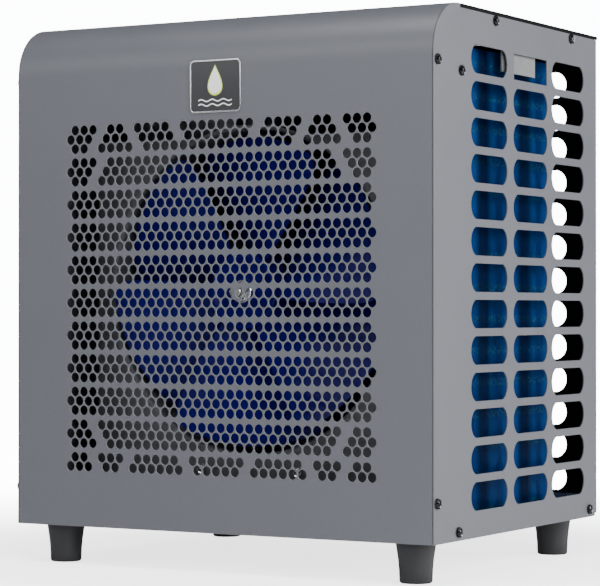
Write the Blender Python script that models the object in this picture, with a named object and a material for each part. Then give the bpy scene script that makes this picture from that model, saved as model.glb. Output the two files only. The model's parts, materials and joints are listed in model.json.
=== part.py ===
"""Pool heat pump unit: a sheet-metal casing on four rubber feet, with a six-blade fan behind a punched
front, an L-shaped fin coil, a compressor and a water heat exchanger. Metres, +Z up, front towards -Y."""

import math

import bmesh
import bpy
from mathutils import Matrix, Vector

# Driving dimensions. Heights that functions take are above the casing's bottom edge.
CASE_WIDTH = 0.375
CASE_DEPTH = 0.300
CASE_HEIGHT = 0.400
FOOT_HEIGHT = 0.031
SHEET = 0.0012
GAP = 0.0003
TOP_RADIUS = 0.040
LIP_START = 0.004
FLANGE_DEPTH = 0.016
HOLE_PITCH = 0.0085
HOLE_SIZE = 0.0072
FAN_HEIGHT = 0.186
RING_RADIUS = 0.127
FAN_RADIUS = 0.122
SHROUD_DEPTH = 0.050
RING_LENGTH = 0.045
REAR_OVERHANG = 0.038
BADGE_PROUD = 0.0011

# Values that follow from them.
SIDE_X = CASE_WIDTH / 2
FRONT_Y = -CASE_DEPTH / 2
BACK_Y = CASE_DEPTH / 2
COVER_X = SIDE_X - SHEET - GAP
PAN_X = COVER_X - SHEET - GAP
PAN_Y = CASE_DEPTH / 2 - SHEET - 0.0004
SHROUD_Y = FRONT_Y + SHROUD_DEPTH
COIL_X = 0.174
COIL_Y = 0.140
COIL_DEPTH = 0.022
COIL_BEND = 0.069
COIL_END_X = -0.066

# Perforated bands and side slots.
BAND_COUNT = 11
BAND_PITCH = 0.0259
BAND_TOP = 0.3067
ROW_PITCH = 0.00738
WINDOWS_PER_BAND = 8
SLOT_LENGTH = 0.064
SLOT_HEIGHT = 0.0214
SLOT_SAGITTA = 0.008
SLOT_PITCH = 0.0275
SLOT_ROWS = 13
SLOT_TOP = 0.361
SIDE_SLOT_COLUMNS = (-0.056, 0.019, 0.092)
BACK_SLOT_COLUMNS = (-0.0194, 0.0546, 0.1286)
SENSOR_WINDOW = (0.062, 0.020)

# Side screws as (y, height), each with the sheet that it grips.
TOP_SCREWS = ((-0.046, 0.393), (0.097, 0.393))
FRONT_SCREWS = ((-0.1445, 0.355), (-0.145, 0.030))
SHROUD_SIDE_SCREW = (-0.105, 0.350)
PAN_SCREWS = ((-0.110, 0.0065), (0.134, 0.0065))
SCREW_HOLE = 0.0022

FOOT_X = 0.159
FOOT_Y = 0.1234
SHROUD_SCREW_X = 0.044
SHROUD_SCREW_HEIGHT = 0.046
PORT_X = -0.128
PORT_HEIGHTS = (0.070, 0.200)
GLAND_HEIGHT = 0.300
DRAIN_AT = (0.060, 0.110)
COMPRESSOR_AT = (-0.125, -0.002)
EXCHANGER_AT = (-0.128, 0.096)
CONTROL_Y = SIDE_SLOT_COLUMNS[1]
CONTROL_HEIGHT = 0.361
BUTTON_OFFSETS = (("button_power", 0.004), ("button_down", 0.014), ("button_up", 0.024))

TO_X = Matrix.Rotation(math.pi / 2, 4, "Y")
TO_BACK = Matrix.Rotation(-math.pi / 2, 4, "X")


def clear_scene():
    for obj in list(bpy.data.objects):
        bpy.data.objects.remove(obj, do_unlink=True)


def finish(name, colour, roughness, metallic=0.0):
    material = bpy.data.materials.new(name)
    material.use_nodes = True
    shader = material.node_tree.nodes["Principled BSDF"]
    shader.inputs["Base Color"].default_value = (*colour, 1.0)
    shader.inputs["Roughness"].default_value = roughness
    shader.inputs["Metallic"].default_value = metallic
    return material


def at(x, y, height):
    """A place in the casing, with its height above the casing's bottom edge."""
    return Vector((x, y, FOOT_HEIGHT + height))


def add(name, bm, material, hidden=False):
    """Makes an object of a bmesh, and hangs it on the unit's frame."""
    mesh = bpy.data.meshes.new(name)
    bm.to_mesh(mesh)
    bm.free()
    mesh.materials.append(material)
    obj = bpy.data.objects.new(name, mesh)
    bpy.context.scene.collection.objects.link(obj)
    obj.parent = unit_frame
    if hidden:
        obj.hide_render = True
        obj.display_type = "WIRE"
    return obj


def smooth(obj, degrees=35):
    obj.data.shade_smooth()
    obj.data.set_sharp_from_angle(angle=math.radians(degrees))
    return obj


def add_box(bm, low, high):
    centre = (Vector(low) + Vector(high)) / 2
    size = Vector(high) - Vector(low)
    bmesh.ops.create_cube(bm, size=1, matrix=Matrix.Translation(centre) @ Matrix.Diagonal((*size, 1)))


def box(name, low, high, material, hidden=False):
    bm = bmesh.new()
    add_box(bm, low, high)
    return add(name, bm, material, hidden)


def rods(name, ends, radius, material, sides=10):
    """Round rods between pairs of points, as one hidden cutter."""
    bm = bmesh.new()
    for start, end in ends:
        run = end - start
        place = Matrix.Translation((start + end) / 2) @ run.to_track_quat("Z", "Y").to_matrix().to_4x4()
        bmesh.ops.create_cone(
            bm, cap_ends=True, segments=sides, radius1=radius, radius2=radius, depth=run.length, matrix=place
        )
    return add(name, bm, material, hidden=True)


def turned(name, profile, place, material, sides=20, ring=False, hidden=False):
    """Turns (radius, height) points round Z, then puts the shape in its place."""
    bm = bmesh.new()
    points = [bm.verts.new((radius, 0, height)) for radius, height in profile]
    pairs = list(zip(points, points[1:]))
    if ring:
        pairs.append((points[-1], points[0]))
    edges = [bm.edges.new(pair) for pair in pairs]
    bmesh.ops.spin(
        bm, geom=points + edges, cent=(0, 0, 0), axis=(0, 0, 1), angle=math.tau, steps=sides, use_merge=True
    )
    bmesh.ops.remove_doubles(bm, verts=bm.verts, dist=1e-6)
    bmesh.ops.recalc_face_normals(bm, faces=bm.faces)
    bmesh.ops.transform(bm, matrix=place, verts=bm.verts)
    return smooth(add(name, bm, material, hidden))


def boolean(obj, operation, others):
    group = bpy.data.collections.new(f"{obj.name} {operation.lower()}")
    for other in others:
        group.objects.link(other)
    modifier = obj.modifiers.new(operation.title(), "BOOLEAN")
    modifier.operation = operation
    modifier.operand_type = "COLLECTION"
    modifier.collection = group


def arc(centre, radius, start, end, steps):
    """Points of a round stretch, from a start angle to an end angle in degrees."""
    angles = [math.radians(start + (end - start) * step / steps) for step in range(steps + 1)]
    return [(centre[0] + radius * math.cos(a), centre[1] + radius * math.sin(a)) for a in angles]


def rectangle(centre, width, height):
    x, y = centre
    return [(x + sx * width / 2, y + sy * height / 2) for sx, sy in ((-1, -1), (1, -1), (1, 1), (-1, 1))]


def round_hole(centre, radius, sides=10):
    return arc(centre, radius, 0, 360, sides)[:-1]


def slot(centre, steps=4):
    """A ventilation slot with bowed ends."""
    x, y = centre
    radius = SLOT_SAGITTA / 2 + SLOT_HEIGHT**2 / (8 * SLOT_SAGITTA)
    half = math.degrees(math.asin(SLOT_HEIGHT / 2 / radius))
    reach = SLOT_LENGTH / 2 - radius
    return arc((x + reach, y), radius, -half, half, steps) + arc(
        (x - reach, y), radius, 180 - half, 180 + half, steps
    )


def outline_faces(outline, holes, place, facing):
    """A flat sheet with holes, laid out by place(u, v) and facing along a direction."""
    bm = bmesh.new()
    for loop in [outline, *holes]:
        points = [bm.verts.new(place(u, v)) for u, v in loop]
        for start, end in zip(points, points[1:] + points[:1]):
            bm.edges.new((start, end))
    bmesh.ops.triangle_fill(bm, use_beauty=True, use_dissolve=False, edges=bm.edges[:], normal=facing)
    bmesh.ops.recalc_face_normals(bm, faces=bm.faces)
    turn_to(bm, facing)
    return bm


def turn_to(bm, facing):
    """Turns the sheet's faces round if its first flat faces look the wrong way."""
    bm.faces.ensure_lookup_table()
    if bm.faces[0].normal.dot(Vector(facing)) < 0:
        bmesh.ops.reverse_faces(bm, faces=bm.faces[:])


def fold(bm, edges, offset):
    """Grows a flange from boundary edges, and returns the flange's far edges."""
    grown = bmesh.ops.extrude_edge_only(bm, edges=edges)["geom"]
    points = {item for item in grown if isinstance(item, bmesh.types.BMVert)}
    bmesh.ops.translate(bm, verts=list(points), vec=offset)
    return [e for e in grown if isinstance(e, bmesh.types.BMEdge) and points.issuperset(e.verts)]


def edges_where(bm, test):
    return [edge for edge in bm.edges if edge.is_boundary and all(test(vert.co) for vert in edge.verts)]


def near(value, other):
    return abs(value - other) < 1e-5


def sheet_metal(name, bm, facing, material, thickness=SHEET):
    """Gives a sheet its thickness, inwards from the faces that were laid out."""
    bm.faces.ensure_lookup_table()
    bmesh.ops.recalc_face_normals(bm, faces=bm.faces)
    turn_to(bm, facing)
    obj = add(name, bm, material)
    wall = obj.modifiers.new("Thickness", "SOLIDIFY")
    wall.thickness = thickness
    wall.offset = -1
    wall.use_even_offset = True
    return obj


def pipe(name, points, radius, material, bend=0.014):
    """A tube along straight runs with a rounded bend at each corner."""
    corners = [Vector(point) for point in points]
    path = [corners[0]]
    for before, corner, after in zip(corners, corners[1:], corners[2:]):
        start = corner + (before - corner).normalized() * min(bend, (before - corner).length * 0.45)
        end = corner + (after - corner).normalized() * min(bend, (after - corner).length * 0.45)
        for step in range(5):
            t = step / 4
            path.append(start * (1 - t) ** 2 + corner * 2 * t * (1 - t) + end * t**2)
    path.append(corners[-1])
    curve = bpy.data.curves.new(name, "CURVE")
    curve.dimensions = "3D"
    curve.bevel_depth = radius
    curve.bevel_resolution = 1
    curve.use_fill_caps = True
    spline = curve.splines.new("POLY")
    spline.points.add(len(path) - 1)
    for point, place in zip(spline.points, path):
        point.co = (*place, 1)
    curve.materials.append(material)
    obj = bpy.data.objects.new(name, curve)
    bpy.context.scene.collection.objects.link(obj)
    obj.parent = unit_frame
    return obj


def casing_profile(steps):
    """The rounded top front corner, from the front face to the top, as (y, height)."""
    centre = (FRONT_Y + TOP_RADIUS, CASE_HEIGHT - TOP_RADIUS)
    return arc(centre, TOP_RADIUS, 180, 90, steps)


def front_panel():
    """The punched front. The rounded top goes on from its upper edge, and a flange from each side."""
    top = casing_profile(1)[0][1] - GAP
    outline = [(-COVER_X, 0), (COVER_X, 0), (COVER_X, top), (-COVER_X, top)]
    windows = []
    for band in range(BAND_COUNT):
        rows = (1, 0) if band == BAND_COUNT - 1 else (1, -1)
        middle = BAND_TOP - band * BAND_PITCH + sum(rows) / 2 * ROW_PITCH
        height = (rows[0] - rows[1]) * ROW_PITCH + HOLE_SIZE
        for step in range(WINDOWS_PER_BAND):
            x = (step - (WINDOWS_PER_BAND - 1) / 2) * 4 * HOLE_PITCH
            windows.append(rectangle((x, middle), 3.6 * HOLE_PITCH, height))
    bm = outline_faces(outline, windows, lambda u, v: at(u, FRONT_Y, v), (0, -1, 0))
    return sheet_metal("front_panel", bm, (0, -1, 0), paint)


def front_flange(name, side):
    """The front's edge, turned back behind the side panel to take its front screws."""
    outer, inner = side * COVER_X, side * (COVER_X - SHEET)
    low = at(min(outer, inner), FRONT_Y + SHEET + GAP, 0.014)
    high = at(max(outer, inner), FRONT_Y + FLANGE_DEPTH, 0.358)
    flange = box(name, low, high, paint)
    drill_sides(flange, FRONT_SCREWS, sides=[side])
    return flange


def top_cover():
    """The rounded corner and the top, which bend back from the front in the same sheet."""
    corner = casing_profile(8)
    bm = bmesh.new()
    ends = [bm.verts.new(at(x, FRONT_Y, corner[0][1])) for x in (-COVER_X, COVER_X)]
    rim = [bm.edges.new(ends)]
    for before, after in zip(corner, corner[1:]):
        rim = fold(bm, rim, (0, after[0] - before[0], after[1] - before[1]))
    rim = fold(bm, rim, (0, LIP_START, 0))
    fold(bm, rim, (0, BACK_Y + 0.0015 - corner[-1][0] - LIP_START, 0))
    lip = SIDE_X + GAP - COVER_X
    for side in (-1, 1):
        edge = edges_where(
            bm,
            lambda co: near(co.x, side * COVER_X)
            and near(co.z, FOOT_HEIGHT + CASE_HEIGHT)
            and co.y > corner[-1][0] + LIP_START - 1e-5,
        )
        fold(bm, edge, (side * lip, 0, 0))
    cover = sheet_metal("top_cover", bm, (0, 0, 1), paint)
    strips = []
    for side in (-1, 1):
        outer, inner = side * COVER_X, side * (COVER_X - SHEET)
        low = at(min(outer, inner), -0.100, CASE_HEIGHT - 0.014)
        high = at(max(outer, inner), 0.140, CASE_HEIGHT - SHEET / 2)
        strips.append(box(f"top flange {side}", low, high, paint, hidden=True))
    boolean(cover, "UNION", strips)
    drill_sides(cover, TOP_SCREWS)
    return cover


def drill_sides(obj, places, sides=(-1, 1)):
    """Screw holes through the flanges behind the side panels."""
    ends = []
    for side in sides:
        for y, height in places:
            ends.append((at(side * (SIDE_X + 0.01), y, height), at(side * (SIDE_X - 0.02), y, height)))
    boolean(obj, "DIFFERENCE", [rods(f"{obj.name} holes", ends, SCREW_HOLE, paint)])


def side_panel(name, side, slots):
    """A flat side with ventilation slots, and a square window high in the middle."""
    lip_y = FRONT_Y + TOP_RADIUS + 0.004
    shoulder = CASE_HEIGHT - SHEET - GAP
    outline = [(FRONT_Y, 0), (BACK_Y, 0), (BACK_Y, shoulder), (lip_y - GAP, shoulder)]
    outline += [(lip_y - GAP, CASE_HEIGHT)]
    outline += list(reversed(casing_profile(8)))
    holes = [rectangle((CONTROL_Y, CONTROL_HEIGHT), *SENSOR_WINDOW)]
    holes += [slot((y, SLOT_TOP - row * SLOT_PITCH)) for y, row in slots]
    holes += [round_hole(place, SCREW_HOLE) for _, place in side_screws(side)]
    bm = outline_faces(outline, holes, lambda u, v: at(side * SIDE_X, u, v), (side, 0, 0))
    return sheet_metal(name, bm, (side, 0, 0), side_paint)


def side_screws(side):
    places = [("top_front", TOP_SCREWS[0]), ("top_rear", TOP_SCREWS[1])]
    places += [("edge_upper", FRONT_SCREWS[0]), ("edge_lower", FRONT_SCREWS[1])]
    places += [("pan_front", PAN_SCREWS[0]), ("pan_rear", PAN_SCREWS[1])]
    if side > 0:
        places.append(("shroud", SHROUD_SIDE_SCREW))
    return places


def screw(name, place, material):
    """A pan-head screw whose shank runs along the place's -Z."""
    profile = [(0, 0.0025), (0.0024, 0.0023), (0.0038, 0.0012), (0.0040, 0.0003)]
    profile += [(0.0016, 0.0003), (0.0016, -0.0070), (0, -0.0085)]
    return turned(name, profile, place, material, sides=8)


def back_panel():
    """The rear sheet, with slots behind the coil and holes for the water unions and the cable gland."""
    outline = [(-COVER_X, 0.0), (COVER_X, 0.0), (COVER_X, 0.021), (COVER_X, 0.380)]
    outline += [(COVER_X, CASE_HEIGHT - SHEET - GAP), (-COVER_X, CASE_HEIGHT - SHEET - GAP)]
    outline += [(-COVER_X, 0.380), (-COVER_X, 0.021)]
    holes = [slot((x, SLOT_TOP - row * SLOT_PITCH)) for x in BACK_SLOT_COLUMNS for row in range(SLOT_ROWS)]
    holes += [round_hole((PORT_X, height), 0.0200, 24) for height in PORT_HEIGHTS]
    holes.append(round_hole((PORT_X, GLAND_HEIGHT), 0.0080, 16))
    bm = outline_faces(outline, holes, lambda u, v: at(u, BACK_Y, v), (0, 1, 0))
    for side in (-1, 1):
        edge = edges_where(
            bm,
            lambda co: near(co.x, side * COVER_X)
            and FOOT_HEIGHT + 0.021 - 1e-5 < co.z < FOOT_HEIGHT + 0.380 + 1e-5,
        )
        fold(bm, edge, (0, -0.012, 0))
    return sheet_metal("back_panel", bm, (0, 1, 0), side_paint)


def base_pan():
    """The tray that everything stands in, with turned-up edges."""
    outline = [(-PAN_X, -PAN_Y), (PAN_X, -PAN_Y), (PAN_X, PAN_Y), (-PAN_X, PAN_Y)]
    holes = [round_hole((sx * FOOT_X, sy * FOOT_Y), 0.0026) for sx in (-1, 1) for sy in (-1, 1)]
    holes.append(round_hole(DRAIN_AT, 0.0090, 20))
    bm = outline_faces(outline, holes, lambda u, v: at(u, v, 0), (0, 0, -1))
    fold(bm, edges_where(bm, lambda co: near(abs(co.x), PAN_X) or near(abs(co.y), PAN_Y)), (0, 0, 0.018))
    pan = sheet_metal("base_pan", bm, (0, 0, -1), galvanised)
    drill_sides(pan, PAN_SCREWS)
    return pan


def foot(name, x, y):
    """A tapered rubber foot with a deep counterbore for its screw."""
    top = FOOT_HEIGHT - GAP
    profile = [(0.0026, top), (0.0153, top), (0.0141, 0.021), (0.0128, 0.010), (0.0123, 0.001)]
    profile += [(0.0113, 0), (0.0060, 0), (0.0060, 0.020), (0.0026, 0.020)]
    return turned(name, profile, Matrix.Translation((x, y, 0)), rubber, sides=18, ring=True)


def fan_shroud():
    """The plate behind the front. The fan's ring breaks through its top edge."""
    left, right, bottom, top = -0.143, PAN_X - SHEET - GAP, 0.002, 0.308
    opening = RING_RADIUS + SHEET + 2 * GAP
    break_x = math.sqrt(opening**2 - (top - FAN_HEIGHT) ** 2)
    start = math.degrees(math.acos(break_x / opening))
    flange_low = SHROUD_SIDE_SCREW[1] - 0.012
    ear_top = SHROUD_SIDE_SCREW[1] + 0.012
    outline = [(left, bottom), (right, bottom), (right, flange_low), (right, ear_top)]
    outline += [(right - 0.022, ear_top), (right - 0.022, top)]
    outline += arc((0, FAN_HEIGHT), opening, start, start - (180 + 2 * start), 40) + [(left, top)]
    holes = [round_hole((side * SHROUD_SCREW_X, SHROUD_SCREW_HEIGHT), SCREW_HOLE) for side in (-1, 1)]
    bm = outline_faces(outline, holes, lambda u, v: at(u, SHROUD_Y, v), (0, -1, 0))
    side_edge = edges_where(
        bm, lambda co: near(co.x, right) and at(0, 0, flange_low).z - 1e-5 < co.z < at(0, 0, ear_top).z + 1e-5
    )
    fold(bm, side_edge, (0, -0.012, 0))
    shroud = sheet_metal("fan_shroud", bm, (0, -1, 0), shroud_paint)
    drill_sides(shroud, [SHROUD_SIDE_SCREW], sides=[1])
    return shroud


def shroud_ring():
    """The fan's ring, welded into the plate's opening."""
    outer = RING_RADIUS + SHEET
    ring = [(RING_RADIUS, 0), (outer, 0), (outer, RING_LENGTH), (RING_RADIUS, RING_LENGTH)]
    place = Matrix.Translation(at(0, SHROUD_Y, FAN_HEIGHT)) @ TO_BACK
    return turned("shroud_ring", ring, place, shroud_paint, sides=48, ring=True)


def fan():
    """Six swept blades on a cup-shaped hub."""
    place = Matrix.Translation(at(0, -0.111, FAN_HEIGHT)) @ TO_BACK
    profile = [(0.0043, 0), (0.0100, 0), (0.0130, 0.003), (0.0255, 0.003), (0.0275, 0), (0.0300, 0.001)]
    profile += [(0.0300, 0.041), (0.0270, 0.041), (0.0270, 0.008), (0.0100, 0.008), (0.0100, 0.037)]
    profile += [(0.0043, 0.037)]
    hub = turned("fan", profile, place, blue_plastic, sides=24, ring=True)
    blades = [blade(f"blade {count}", count * 60 - 10) for count in range(6)]
    boolean(hub, "UNION", blades)
    return hub


def blade(name, angle, root=0.0285, rows=4, columns=4):
    """One blade, from its near edge at an angle to its far edge, 50 degrees on."""
    bm = bmesh.new()
    spread, depth = 50, 0.042
    grid = []
    for row in range(rows + 1):
        part = row / rows
        radius = root + (FAN_RADIUS - root) * part
        line = []
        for column in range(columns + 1):
            turn = column / columns
            theta = math.radians(angle + 6 * part + (spread - 4 * part) * turn)
            bow = 0.004 * math.sin(math.pi * turn)
            y = -0.1085 + depth * turn - bow + 0.001
            line.append(bm.verts.new(at(radius * math.cos(theta), y, FAN_HEIGHT + radius * math.sin(theta))))
        grid.append(line)
    for inner, outer in zip(grid, grid[1:]):
        for first in range(columns):
            bm.faces.new((inner[first], inner[first + 1], outer[first + 1], outer[first]))
    bmesh.ops.recalc_face_normals(bm, faces=bm.faces)
    obj = add(name, bm, blue_plastic, hidden=True)
    wall = obj.modifiers.new("Thickness", "SOLIDIFY")
    wall.thickness = 0.0018
    wall.offset = 0
    return obj


def fan_drive():
    axis = at(0, 0, FAN_HEIGHT)
    shaft = [(0, -0.1205), (0.0034, -0.1205), (0.0040, -0.1198), (0.0040, -0.042), (0, -0.042)]
    turned("motor_shaft", shaft, Matrix.Translation(axis) @ TO_BACK, steel, sides=20)
    washer = [(0.0043, -0.1127), (0.0090, -0.1127), (0.0090, -0.1114), (0.0043, -0.1114)]
    turned("fan_washer", washer, Matrix.Translation(axis) @ TO_BACK, chrome, sides=20, ring=True)
    nut = [(0.0050, -0.1185), (0.0068, -0.1190), (0.0076, -0.1180), (0.0076, -0.1130), (0.0050, -0.1130)]
    turned("fan_nut", nut, Matrix.Translation(axis) @ TO_BACK, chrome, sides=6, ring=True)
    motor = [(0, -0.0400), (0.0043, -0.0400), (0.0043, -0.0660), (0.0120, -0.0660), (0.0120, -0.0625)]
    motor += [(0.0360, -0.0625), (0.0420, -0.0570), (0.0420, -0.0220), (0.0380, -0.0162), (0, -0.0162)]
    turned("fan_motor", motor, Matrix.Translation(axis) @ TO_BACK, motor_black, sides=24)


def motor_bracket():
    """A strut from the shroud's foot to the roof, which carries the motor's back."""
    thickness = 0.0015
    tab_y = SHROUD_Y + SHEET + GAP
    strut_y, shelf = -0.0142, 0.038
    tab = [(-0.056, shelf), (0.056, shelf), (0.056, shelf + 0.015), (-0.056, shelf + 0.015)]
    holes = [round_hole((side * SHROUD_SCREW_X, SHROUD_SCREW_HEIGHT), SCREW_HOLE) for side in (-1, 1)]
    bm = outline_faces(tab, holes, lambda u, v: at(u, tab_y, v), (0, -1, 0))
    floor_z = at(0, 0, shelf).z
    back = fold(bm, edges_where(bm, lambda co: near(co.z, floor_z)), (0, strut_y - tab_y, 0))
    neck = fold(bm, back, (0, 0, 0.030))
    for vert in {v for edge in neck for v in edge.verts}:
        vert.co.x = math.copysign(0.0135, vert.co.x)
    upper = fold(bm, neck, (0, 0, 0.299))
    crown = fold(bm, upper, (0, 0, CASE_HEIGHT - SHEET - GAP - shelf - 0.030 - 0.299))
    for vert in {v for edge in crown for v in edge.verts}:
        vert.co.x = math.copysign(0.030, vert.co.x)
    fold(bm, crown, (0, -0.020, 0))
    return sheet_metal("motor_bracket", bm, (0, -1, 0), motor_black, thickness)


def evaporator():
    """The fin coil: a leg behind the right side, a wide bend and a leg behind the back."""
    centre = (COIL_X - COIL_BEND, COIL_Y - COIL_BEND)
    outline = [(COIL_X, -0.096)] + arc(centre, COIL_BEND, 0, 90, 10) + [(COIL_END_X, COIL_Y)]
    outline += [(COIL_END_X, COIL_Y - COIL_DEPTH)] + arc(centre, COIL_BEND - COIL_DEPTH, 90, 0, 10)
    outline += [(COIL_X - COIL_DEPTH, -0.096)]
    bm = outline_faces(outline, [], lambda u, v: at(u, v, 0.372), (0, 0, 1))
    sheet_metal("evaporator_fins", bm, (0, 0, 1), fin_blue, thickness=0.366)
    low = at(COIL_END_X - 0.0018, COIL_Y - COIL_DEPTH, 0.006)
    high = at(COIL_END_X - GAP, COIL_Y, 0.372)
    plate = box("coil_end_plate", low, high, galvanised)
    bends = []
    for count in range(5):
        height = 0.045 + count * 0.070
        points = [at(COIL_END_X - 0.001, 0.129, height), at(COIL_END_X - 0.012, 0.129, height)]
        points += [at(COIL_END_X - reach, 0.129, height + 0.025) for reach in (0.012, 0.001)]
        bend = pipe(f"bend {count}", points, 0.0040, copper, bend=0.010)
        bends.append(solid_copy(bend))
    boolean(plate, "UNION", bends)


def solid_copy(curve):
    """Turns a tube into a hidden mesh that a Boolean can take."""
    bpy.context.view_layer.update()
    mesh = bpy.data.meshes.new_from_object(curve.evaluated_get(bpy.context.evaluated_depsgraph_get()))
    name = curve.name
    bpy.data.objects.remove(curve, do_unlink=True)
    bm = bmesh.new()
    bm.from_mesh(mesh)
    bmesh.ops.remove_doubles(bm, verts=bm.verts, dist=1e-6)
    bmesh.ops.recalc_face_normals(bm, faces=bm.faces)
    return add(name, bm, copper, hidden=True)


def compressor():
    x, y = COMPRESSOR_AT
    shell = [(0, 0.222), (0.014, 0.221), (0.017, 0.216), (0.017, 0.199), (0.025, 0.198), (0.040, 0.188)]
    shell += [(0.045, 0.176), (0.045, 0.034), (0.040, 0.022), (0, 0.015)]
    body = turned("compressor", shell, Matrix.Translation(at(x, y, 0)), motor_black, sides=24)
    spots = [(x + 0.050 * math.cos(a), y + 0.050 * math.sin(a)) for a in map(math.radians, (30, 150, 270))]
    corners = arc((x, y), 0.064, 30, 270, 2)
    bm = bmesh.new()
    top = [bm.verts.new(at(u, v, 0.0165)) for u, v in corners]
    bm.faces.new(top)
    turn_to(bm, (0, 0, 1))
    leg_plate = add("compressor feet", bm, motor_black, hidden=True)
    wall = leg_plate.modifiers.new("Thickness", "SOLIDIFY")
    wall.thickness = 0.0025
    wall.offset = -1
    mount = [(0, 0.0150), (0.0075, 0.0150), (0.0075, 0.010), (0.0095, 0.008), (0.0095, 0.0015), (0, 0.0015)]
    mounts = []
    for u, v in spots:
        place = Matrix.Translation(at(u, v, 0))
        mounts.append(turned("compressor mount", mount, place, rubber, sides=16, hidden=True))
    boolean(body, "UNION", [leg_plate, *mounts])


def accumulator():
    profile = [(0, 0.190), (0.008, 0.190), (0.019, 0.183), (0.022, 0.174), (0.022, 0.076), (0.019, 0.067)]
    profile += [(0.008, 0.060), (0, 0.060)]
    turned("accumulator", profile, Matrix.Translation(at(-0.050, 0.018, 0)), motor_black, sides=24)


def heat_exchanger():
    x, y = EXCHANGER_AT
    profile = [(0, 0.240), (0.040, 0.240), (0.046, 0.236), (0.046, 0.222), (0.044, 0.220), (0.044, 0.026)]
    profile += [(0.046, 0.024), (0.046, 0.006), (0, 0.006)]
    turned("heat_exchanger", profile, Matrix.Translation(at(x, y, 0)), grey_plastic, sides=24)


def water_port(name, nut_name, height):
    """A threaded water connection through the back, with its loose union nut."""
    place = Matrix.Translation(at(PORT_X, 0, height)) @ TO_BACK
    end = BACK_Y + REAR_OVERHANG
    port = [(0.0130, 0.1432), (0.0170, 0.1432), (0.0170, 0.1455), (0.0240, 0.1455), (0.0240, 0.1485)]
    port += [(0.0190, 0.1485), (0.0190, end), (0.0130, end)]
    turned(name, port, place, grey_plastic, sides=24, ring=True)
    nut = [(0.0196, 0.1530), (0.0280, 0.1530), (0.0290, 0.1550), (0.0290, 0.1760), (0.0275, 0.1790)]
    nut += [(0.0196, 0.1790)]
    turned(nut_name, nut, place, nut_plastic, sides=24, ring=True)


def pipework():
    x, y = COMPRESSOR_AT
    ex, ey = EXCHANGER_AT
    discharge = [at(x + 0.020, y + 0.018, 0.1985), at(x + 0.020, y + 0.018, 0.262), at(ex, ey, 0.262)]
    pipe("discharge_pipe", discharge + [at(ex, ey, 0.2405)], 0.0048, copper)
    suction = [at(COIL_END_X - 0.0022, 0.129, 0.3025), at(-0.084, 0.129, 0.3025), at(-0.084, 0.109, 0.3025)]
    suction.append(at(-0.084, 0.109, 0.278))
    suction += [at(-0.050, 0.018, 0.270), at(-0.050, 0.018, 0.1905)]
    pipe("suction_pipe", suction, 0.0063, copper)
    liquid = [at(ex + 0.0445, ey, 0.046), at(-0.046, ey, 0.046), at(-0.046, ey, 0.0995)]
    pipe("liquid_pipe", liquid, 0.0040, copper)
    valve = [(0, 0.160), (0.0125, 0.160), (0.0130, 0.158), (0.0130, 0.130), (0.0070, 0.127), (0.0070, 0.102)]
    valve += [(0, 0.100)]
    turned("expansion_valve", valve, Matrix.Translation(at(-0.046, ey, 0)), brass, sides=20)
    inlet = [at(-0.0535, ey, 0.112), at(-0.078, ey, 0.112), at(-0.082, 0.129, 0.0925)]
    pipe("coil_inlet_pipe", inlet + [at(COIL_END_X - 0.0022, 0.129, 0.0925)], 0.0032, copper, bend=0.010)


def control_box():
    """An open tray under the roof, with the controller's board on the bottom."""
    low, high = at(-0.150, -0.045, 0.296), at(-0.045, 0.100, 0.388)
    tray = box("control_box", low, high, galvanised)
    wall = Vector((0.0015, 0.0015, 0.0015))
    far = high - wall + Vector((0, 0, 0.01))
    hollow = box("control box hollow", low + wall, far, galvanised, hidden=True)
    boolean(tray, "DIFFERENCE", [hollow])
    board = box("control_board", at(-0.146, -0.040, 0.303), at(-0.049, 0.095, 0.3046), board_green)
    blocks = [(-0.120, -0.010, 0.030, 0.024, 0.028), (-0.080, 0.040, 0.022, 0.040, 0.022)]
    blocks.append((-0.125, 0.065, 0.026, 0.030, 0.018))
    pieces = []
    for count, (x, y, length, width, height) in enumerate(blocks):
        low = at(x - length / 2, y - width / 2, 0.3040)
        high = at(x + length / 2, y + width / 2, 0.3046 + height)
        pieces.append(box(f"board block {count}", low, high, motor_black, hidden=True))
    boolean(board, "UNION", pieces)


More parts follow.
